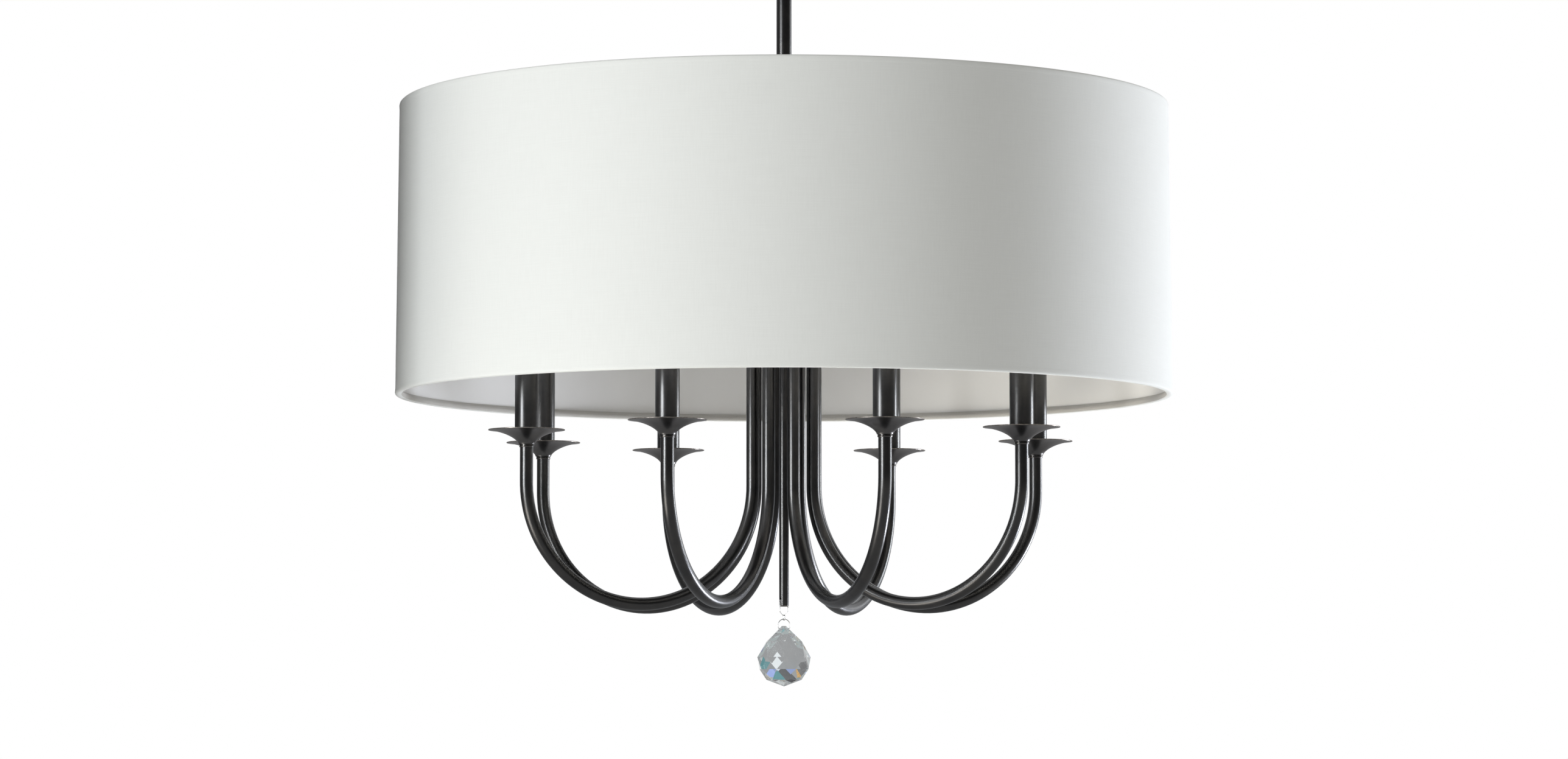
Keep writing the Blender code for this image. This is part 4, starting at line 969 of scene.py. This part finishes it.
def buildSockets(places, turns):
    s = socketSizes
    low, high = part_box("lamp_socket_1")
    floor, foot = high.z - s["boreDeep"], high.z - s["bodyHigh"]
    outline = [(0, floor), (s["mouth"], floor), (s["mouth"], high.z - s["mouthRound"]),
               (s["mouth"] + s["round"], high.z), (s["radius"] - s["round"], high.z),
               (s["radius"], high.z - s["round"]), (s["radius"], foot), (0, foot)]
    body = latheMesh("socketBody", outline, s["sides"], closed=False)
    outline = [(0, floor + s["contactHigh"]), (s["contact"], floor + s["contactEdge"]),
               (s["contact"], floor + s["contactFoot"]), (0, floor + s["contactFoot"])]
    contact = latheMesh("socketContact", outline, s["contactSides"], closed=False)
    bodies = repeated("socketBodies", body, places, turns, phenolic)
    contacts = repeated("socketContacts", contact, places, turns, brass)
    values = {"Radius": s["shell"], "Depth": s["shellDepth"], "Pitch": s["pitch"],
              "Thread height": s["thread"], "Top": high.z - s["shellTop"], "Finish": brass}
    shells = meshFromTree(screwShell, pointMesh("shellPoints", places, turns), values)
    shells.shade_smooth()
    joined = joinMeshes("socketShells", [shells, contacts])
    addPiece("socketShells", joined, "light", [], brass)
    addPiece("lampSockets", bodies, "light", ["lamp_socket_" + name for name in armNames])


buildArms()
print("arms, dishes, sleeves and sockets made")


# Lower rod and the wires of the drop


# wire is the wires' own radius, and seat the CAD's, from which they are placed
dropSizes = {"rod": 0.00475, "chamfer": 0.0009, "rodRound": 0.0003, "wearReach": 0.0001, "rodWear": 0.6,
             "rodSides": 48, "holeRadius": 0.0011, "holeRise": 0.0075, "holeReach": 0.008, "holeTurn": 47.5,
             "wire": 0.00038, "wireSides": 16, "seat": 0.00045,
             "bailHalf": 0.0057, "bailLeg": 0.0125, "bailPoint": 0.0040, "bailRound": 0.0010,
             "linkHalf": 0.0015, "linkTurn": 130.0, "stirrupHalf": 0.0056, "stirrupCorner": 0.0012}


def drilled(name, mesh, start, end, radius, sides=24):
    # cuts one round hole through a mesh
    thing = bpy.data.objects.new(name, mesh)
    bpy.context.scene.collection.objects.link(thing)
    along = Vector(end) - Vector(start)
    turn = along.to_track_quat("Z", "Y").to_matrix().to_4x4()
    middle = Matrix.Translation((Vector(start) + Vector(end)) / 2)
    bm = bmesh.new()
    bmesh.ops.create_cone(bm, cap_ends=True, segments=sides, radius1=radius, radius2=radius,
                          depth=along.length, matrix=middle @ turn)
    cutter = bpy.data.objects.new(name + "Drill", newMesh(name + "Drill", bm))
    bpy.context.scene.collection.objects.link(cutter)
    step = thing.modifiers.new("hole", "BOOLEAN")
    step.operation, step.solver, step.object = "DIFFERENCE", "EXACT", cutter
    made = bpy.data.meshes.new_from_object(thing.evaluated_get(bpy.context.evaluated_depsgraph_get()))
    bpy.data.objects.remove(thing)
    bpy.data.objects.remove(cutter)
    return made


def jointHeight(name):
    return [joint for joint in frame["joints"] if joint["name"] == name][0]["pos_m"][2]


def wirePiece(name, path, body, node, turn, height):
    # a closed wire from (x, z) points in its own plane, turned about Z and set at its height
    places = [(x, 0, z) for x, z in path]
    values = {"Wire radius": dropSizes["wire"], "Sides": dropSizes["wireSides"], "Finish": wire}
    mesh = meshFromTree(sweptWire, pathMesh(name, places, True), values)
    mesh.transform(Matrix.Translation((0, 0, height)) @ Matrix.Rotation(math.radians(turn), 4, "Z"))
    mesh.shade_smooth()
    addPiece(name, mesh, body, [node])


def halfCircle(centre, radius, start, steps=14):
    angles = [start + math.pi * k / steps for k in range(steps + 1)]
    return [(radius * math.cos(angle), centre + radius * math.sin(angle)) for angle in angles]


def buildRod():
    s = dropSizes
    low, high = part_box("lower_rod")
    edge = low.z + s["chamfer"]
    side = s["rod"]
    outline = [(0, low.z), (side - s["chamfer"], low.z), (side, edge), (side, high.z), (0, high.z)]
    outline = roundedCorners(outline, s["rodRound"], closed=False)
    rod = latheMesh("lowerRod", outline, s["rodSides"], closed=False)
    reach = onCircle(s["holeReach"], math.radians(s["holeTurn"]))
    middle = Vector((0, 0, low.z + s["holeRise"]))
    rod = softened(drilled("lowerRod", rod, middle - reach, middle + reach, s["holeRadius"]), 35)
    markWear(rod, lambda place: s["rodWear"] if place.z < edge + s["wearReach"] else 0.0)
    addPiece("lowerRod", rod, "light", ["lower_rod"], bronze)


def buildWires():
    s = dropSizes
    half, leg, point = s["bailHalf"], s["bailLeg"], s["bailPoint"]
    corners = [(-half, 0), (-half, -leg), (0, -leg - point), (half, -leg), (half, 0)]
    bail = roundedCorners(corners, s["bailRound"], 5)
    wirePiece("hookBail", bail, "bail", "hook_bail", s["holeTurn"], jointHeight("bail_swing"))
    low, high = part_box("hook_link")
    inset = s["seat"] + s["linkHalf"]
    oval = halfCircle(high.z - inset, s["linkHalf"], 0) + halfCircle(low.z + inset, s["linkHalf"], math.pi)
    wirePiece("hookLink", oval, "link", "hook_link", s["linkTurn"], 0)
    low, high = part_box("crystal_stirrup")
    arch = halfCircle(high.z - s["seat"] - s["stirrupHalf"], s["stirrupHalf"], 0, 28)
    corner = s["stirrupCorner"]
    across, up = s["stirrupHalf"] - corner, low.z + s["seat"] + corner
    for side, start in ((-1, math.pi), (1, 1.5 * math.pi)):
        for k in range(7):
            turn = start + quarterTurn * k / 6
            arch.append((side * across + corner * math.cos(turn), up + corner * math.sin(turn)))
    wirePiece("crystalStirrup", arch, "stirrup", "crystal_stirrup", 0, 0)


buildRod()
buildWires()
print("rod and wires made")


# Crystal


# heights and radii of the rows are shares of the whole; turn keeps a facet from mirroring the key light
crystalSizes = {"radius": 0.0262, "fold": 8, "heights": (0.11, 0.283, 0.483, 0.745, 1),
                "radii": (0.66, 0.954, 1, 0.70, 0.08), "turn": 5.0, "hole": 0.0009, "holeDrop": 0.0002,
                "holeReach": 0.02, "holeSides": 16}


def buildCrystal():
    # rows of points, each turned half a step from the one below, joined by flat facets
    s = crystalSizes
    low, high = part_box("crystal_ball")
    bm = bmesh.new()
    bm.verts.new((0, 0, low.z))
    step = fullTurn / s["fold"]
    for row, (share, width) in enumerate(zip(s["heights"], s["radii"])):
        for k in range(s["fold"]):
            angle = step * (k + row % 2 / 2) + math.radians(s["turn"])
            bm.verts.new(onCircle(s["radius"] * width, angle, low.z + (high.z - low.z) * share))
    bmesh.ops.convex_hull(bm, input=bm.verts)
    bmesh.ops.recalc_face_normals(bm, faces=bm.faces)
    mesh = newMesh("cutCrystal", bm)
    middle = Vector((0, 0, jointHeight("crystal_swing") - s["holeDrop"]))
    reach = Vector((s["holeReach"], 0, 0))
    mesh = drilled("cutCrystal", mesh, middle - reach, middle + reach, s["hole"], s["holeSides"])
    mesh.shade_flat()
    addPiece("cutCrystal", mesh, "crystal", ["crystal_ball"], crystalGlass)


buildCrystal()
print("crystal made")


# CAD nodes that stay, with their finishes


def paintNode(node, finish):
    thing = frame["nodes"][node]
    for slot in thing.material_slots:
        slot.material = finish
    if not thing.material_slots:
        thing.data.materials.append(finish)


for node in ("ceiling_bar", "canopy_nut", "shade_bottom_ring"):
    paintNode(node, plated)
for node in ("stud_1", "stud_2", "centre_pipe"):
    paintNode(node, threaded)
print("kept nodes painted")


# Floor, light and camera


# mirrored is what metal sees of a thing, and through what the crystal sees of it
studio = {"fill": 0.44, "fillColour": (1.0, 0.985, 0.95), "room": 0.06, "backdropFrom": 0.05,
          "backdropFull": 0.45, "aim": (0, 0, -0.55)}
floorLook = {"height": -2.1, "size": 60.0, "dark": (0.80, 0.80, 0.795), "pale": (0.83, 0.83, 0.825),
             "scale": 1.2, "lift": 0.6, "mirrored": (0.35, 0.35, 0.35), "through": (0.35, 0.355, 0.36)}
cardSizes = {"place": -0.61, "front": -0.36, "back": 0.9, "low": -0.85, "high": -0.1, "mirrored": 0.14,
             "dark": (0.015, 0.015, 0.015), "pale": (0.025, 0.025, 0.025), "scale": 30.0}
# greys and tints that the crystal sees in place of a real room, and one pale patch a little to the side
roomLook = {"shift": (0, 5.3, 2.2), "cells": 5.5, "patch": (0.84, 0.88, 0.90, 1), "aside": 0.18,
            "patchFrom": 0.985, "patchFull": 0.995,
            "greys": [(0.0, (0.13, 0.135, 0.14)), (0.14, (0.15, 0.155, 0.16)), (0.16, (0.27, 0.28, 0.29)),
                      (0.66, (0.38, 0.39, 0.395)), (0.68, (0.55, 0.58, 0.58)), (0.90, (0.66, 0.69, 0.69)),
                      (0.92, (0.84, 0.88, 0.90))],
            "tints": [(0.0, (1.0, 0.56, 0.20)), (0.06, (1.0, 0.60, 0.24)), (0.065, (0.34, 0.88, 0.95)),
                      (0.12, (0.40, 0.92, 0.96)), (0.125, (0.46, 0.56, 0.96)), (0.18, (0.56, 0.64, 0.98)),
                      (0.185, (1, 1, 1))]}


def stageMesh(name, corners, finish):
    mesh = bpy.data.meshes.new(name)
    mesh.from_pydata(corners, [], [(0, 1, 2, 3)])
    mesh.materials.append(finish)
    thing = bpy.data.objects.new(name, mesh)
    bpy.context.scene.collection.objects.link(thing)
    return thing


def mattMaterial(name, scale, detail, dark, pale):
    # a matt finish whose colour clouds a little between two tones, and the light path that it can ask
    made, tree, shader = newMaterial(name)
    tone = noiseNode(tree, objectPlace(tree), scale, detail)
    feed(tree, shader, {"Base Color": colourRamp(tree, tone, [(0.3, dark), (0.7, pale)]), "Roughness": 0.9,
                        "Emission Color": (1, 1, 1, 1)})
    return made, tree, shader, addNode(tree, "ShaderNodeLightPath").outputs


def buildFloor():
    s = floorLook
    made, tree, shader, path = mattMaterial("paleFloor", s["scale"], 2.0, s["dark"], s["pale"])
    feed(tree, shader, {"Emission Strength": mathNode(tree, "MULTIPLY", path["Is Camera Ray"], s["lift"])})
    # the metal and the crystal see the floor as a plain mid grey, so that it does not wash them out
    shown = shader.outputs[0]
    for ray, grey in (("Is Glossy Ray", s["mirrored"]), ("Is Transmission Ray", s["through"])):
        flat = addNode(tree, "ShaderNodeEmission", {"Color": (*grey, 1), "Strength": 1.0}).outputs[0]
        shown = mixShader(tree, path[ray], shown, flat)
    # a hanging light is also looked at from below, and there the floor isn't in the way
    under = addNode(tree, "ShaderNodeNewGeometry").outputs["Backfacing"]
    clear = addNode(tree, "ShaderNodeBsdfTransparent").outputs[0]
    feed(tree, tree.nodes["Material Output"], {"Surface": mixShader(tree, under, shown, clear)})
    half = s["size"] / 2
    corners = [(x, y, s["height"]) for x, y in ((-half, -half), (half, -half), (half, half), (-half, half))]
    stageMesh("paleFloor", corners, made)


def buildCard():
    # draws the shade's dark left edge, out of the camera's sight; the metal sees it as a dim grey
    s = cardSizes
    made, tree, shader, path = mattMaterial("blackCard", s["scale"], 3.0, s["dark"], s["pale"])
    glow = mathNode(tree, "MULTIPLY", path["Is Glossy Ray"], s["mirrored"])
    feed(tree, shader, {"Emission Strength": glow})
    edges = ((s["front"], s["low"]), (s["back"], s["low"]), (s["back"], s["high"]), (s["front"], s["high"]))
    card = stageMesh("blackCard", [(s["place"], y, z) for y, z in edges], made)
    card.visible_camera = False


def crystalRoom(tree, way, parts):
    # the colours of the world as the crystal sees it
    s = roomLook
    moved = mapped(tree, way, Location=s["shift"])
    cells = addNode(tree, "ShaderNodeTexVoronoi", {"Vector": moved, "Scale": s["cells"]}).outputs["Color"]
    pick = addNode(tree, "ShaderNodeSeparateColor", {"Color": cells}).outputs
    greys = colourRamp(tree, pick["Red"], s["greys"])
    tints = colourRamp(tree, pick["Green"], s["tints"])
    flashes = mixColour(tree, 1.0, greys, tints, blend="MULTIPLY")
    aside = mathNode(tree, "MULTIPLY_ADD", parts["X"], s["aside"], parts["Y"])
    patch = mapRange(tree, aside, s["patchFrom"], s["patchFull"], 0.0, 1.0)
    colour = mixColour(tree, patch, flashes, s["patch"])
    return addNode(tree, "ShaderNodeBackground", {"Color": colour, "Strength": 1.0}).outputs[0]


def buildWorld():
    # white where it is seen; the metal and the crystal also see the darker room on the camera's side
    s = studio
    world = bpy.data.worlds.new("paleStudio")
    bpy.context.scene.world = world
    world.use_nodes = True
    tree = world.node_tree
    plain = tree.nodes["Background"]
    path = addNode(tree, "ShaderNodeLightPath").outputs
    way = addNode(tree, "ShaderNodeTexCoord").outputs["Generated"]
    parts = splitVector(tree, way)
    behind = mapRange(tree, parts["Y"], s["backdropFrom"], s["backdropFull"], s["room"], 1.0)
    unseen = mapRange(tree, path["Is Glossy Ray"], 0.0, 1.0, s["fill"], behind)
    seen = mathNode(tree, "MAXIMUM", path["Is Camera Ray"], path["Is Glossy Ray"])
    feed(tree, plain, {"Strength": mathNode(tree, "MAXIMUM", path["Is Camera Ray"], unseen),
                       "Color": mixColour(tree, seen, (*s["fillColour"], 1), (1, 1, 1, 1))})
    shown = mixShader(tree, path["Is Transmission Ray"], plain.outputs[0], crystalRoom(tree, way, parts))
    feed(tree, tree.nodes["World Output"], {"Surface": shown})


# each soft box: angle from the camera's side round to the right, distance, height, size, power, colour,
# and whether the metal mirrors it
lamps = {"keyLight": (-47.0, 2.8, -0.50, (0.75, 0.80), 36.0, (0.93, 0.97, 1.0), True),
         "lowKey": (-54.0, 2.8, -1.70, (1.4, 0.8), 16.0, (1.0, 0.95, 0.88), True),
         "lowLeft": (-105.0, 2.8, -1.80, (1.4, 0.6), 58.0, (1.0, 0.95, 0.84), False),
         "rimLight": (115.0, 3.0, -0.50, (0.65, 0.8), 29.0, (0.92, 0.96, 1.0), True),
         "lowRim": (115.0, 3.0, -1.60, (1.0, 0.5), 66.0, (0.88, 0.91, 1.0), True)}


def buildLamp(name, angle, far, high, size, power, colour, mirrored):
    light = bpy.data.lights.new(name, "AREA")
    light.shape = "RECTANGLE"
    light.size, light.size_y = size
    light.energy = power
    light.color = colour
    lamp = bpy.data.objects.new(name, light)
    bpy.context.scene.collection.objects.link(lamp)
    turn = math.radians(angle)
    lamp.location = (math.sin(turn) * far, -math.cos(turn) * far, high)
    aim = Vector(studio["aim"]) - lamp.location
    lamp.rotation_euler = aim.to_track_quat("-Z", "Y").to_euler()
    # a lamp seen through the cut glass would be a hard white speck
    lamp.visible_camera = lamp.visible_transmission = False
    lamp.visible_glossy = mirrored


cameraSizes = {"place": (0, -4.7708, -0.978), "tilt": 94.246, "lens": 111.8, "sensor": 36.0, "near": 0.1,
               "far": 100.0}


def buildCamera():
    s = cameraSizes
    camera = bpy.data.cameras.new("photoCamera")
    camera.lens = s["lens"]
    camera.sensor_width = s["sensor"]
    camera.sensor_fit = "HORIZONTAL"
    camera.clip_start, camera.clip_end = s["near"], s["far"]
    thing = bpy.data.objects.new("photoCamera", camera)
    bpy.context.scene.collection.objects.link(thing)
    thing.location = s["place"]
    thing.rotation_euler = (math.radians(s["tilt"]), 0, 0)
    bpy.context.scene.camera = thing


buildFloor()
buildCard()
buildWorld()
for name, settings in lamps.items():
    buildLamp(name, *settings)
buildCamera()
bpy.context.scene.view_settings.view_transform = "Standard"
print("studio made")
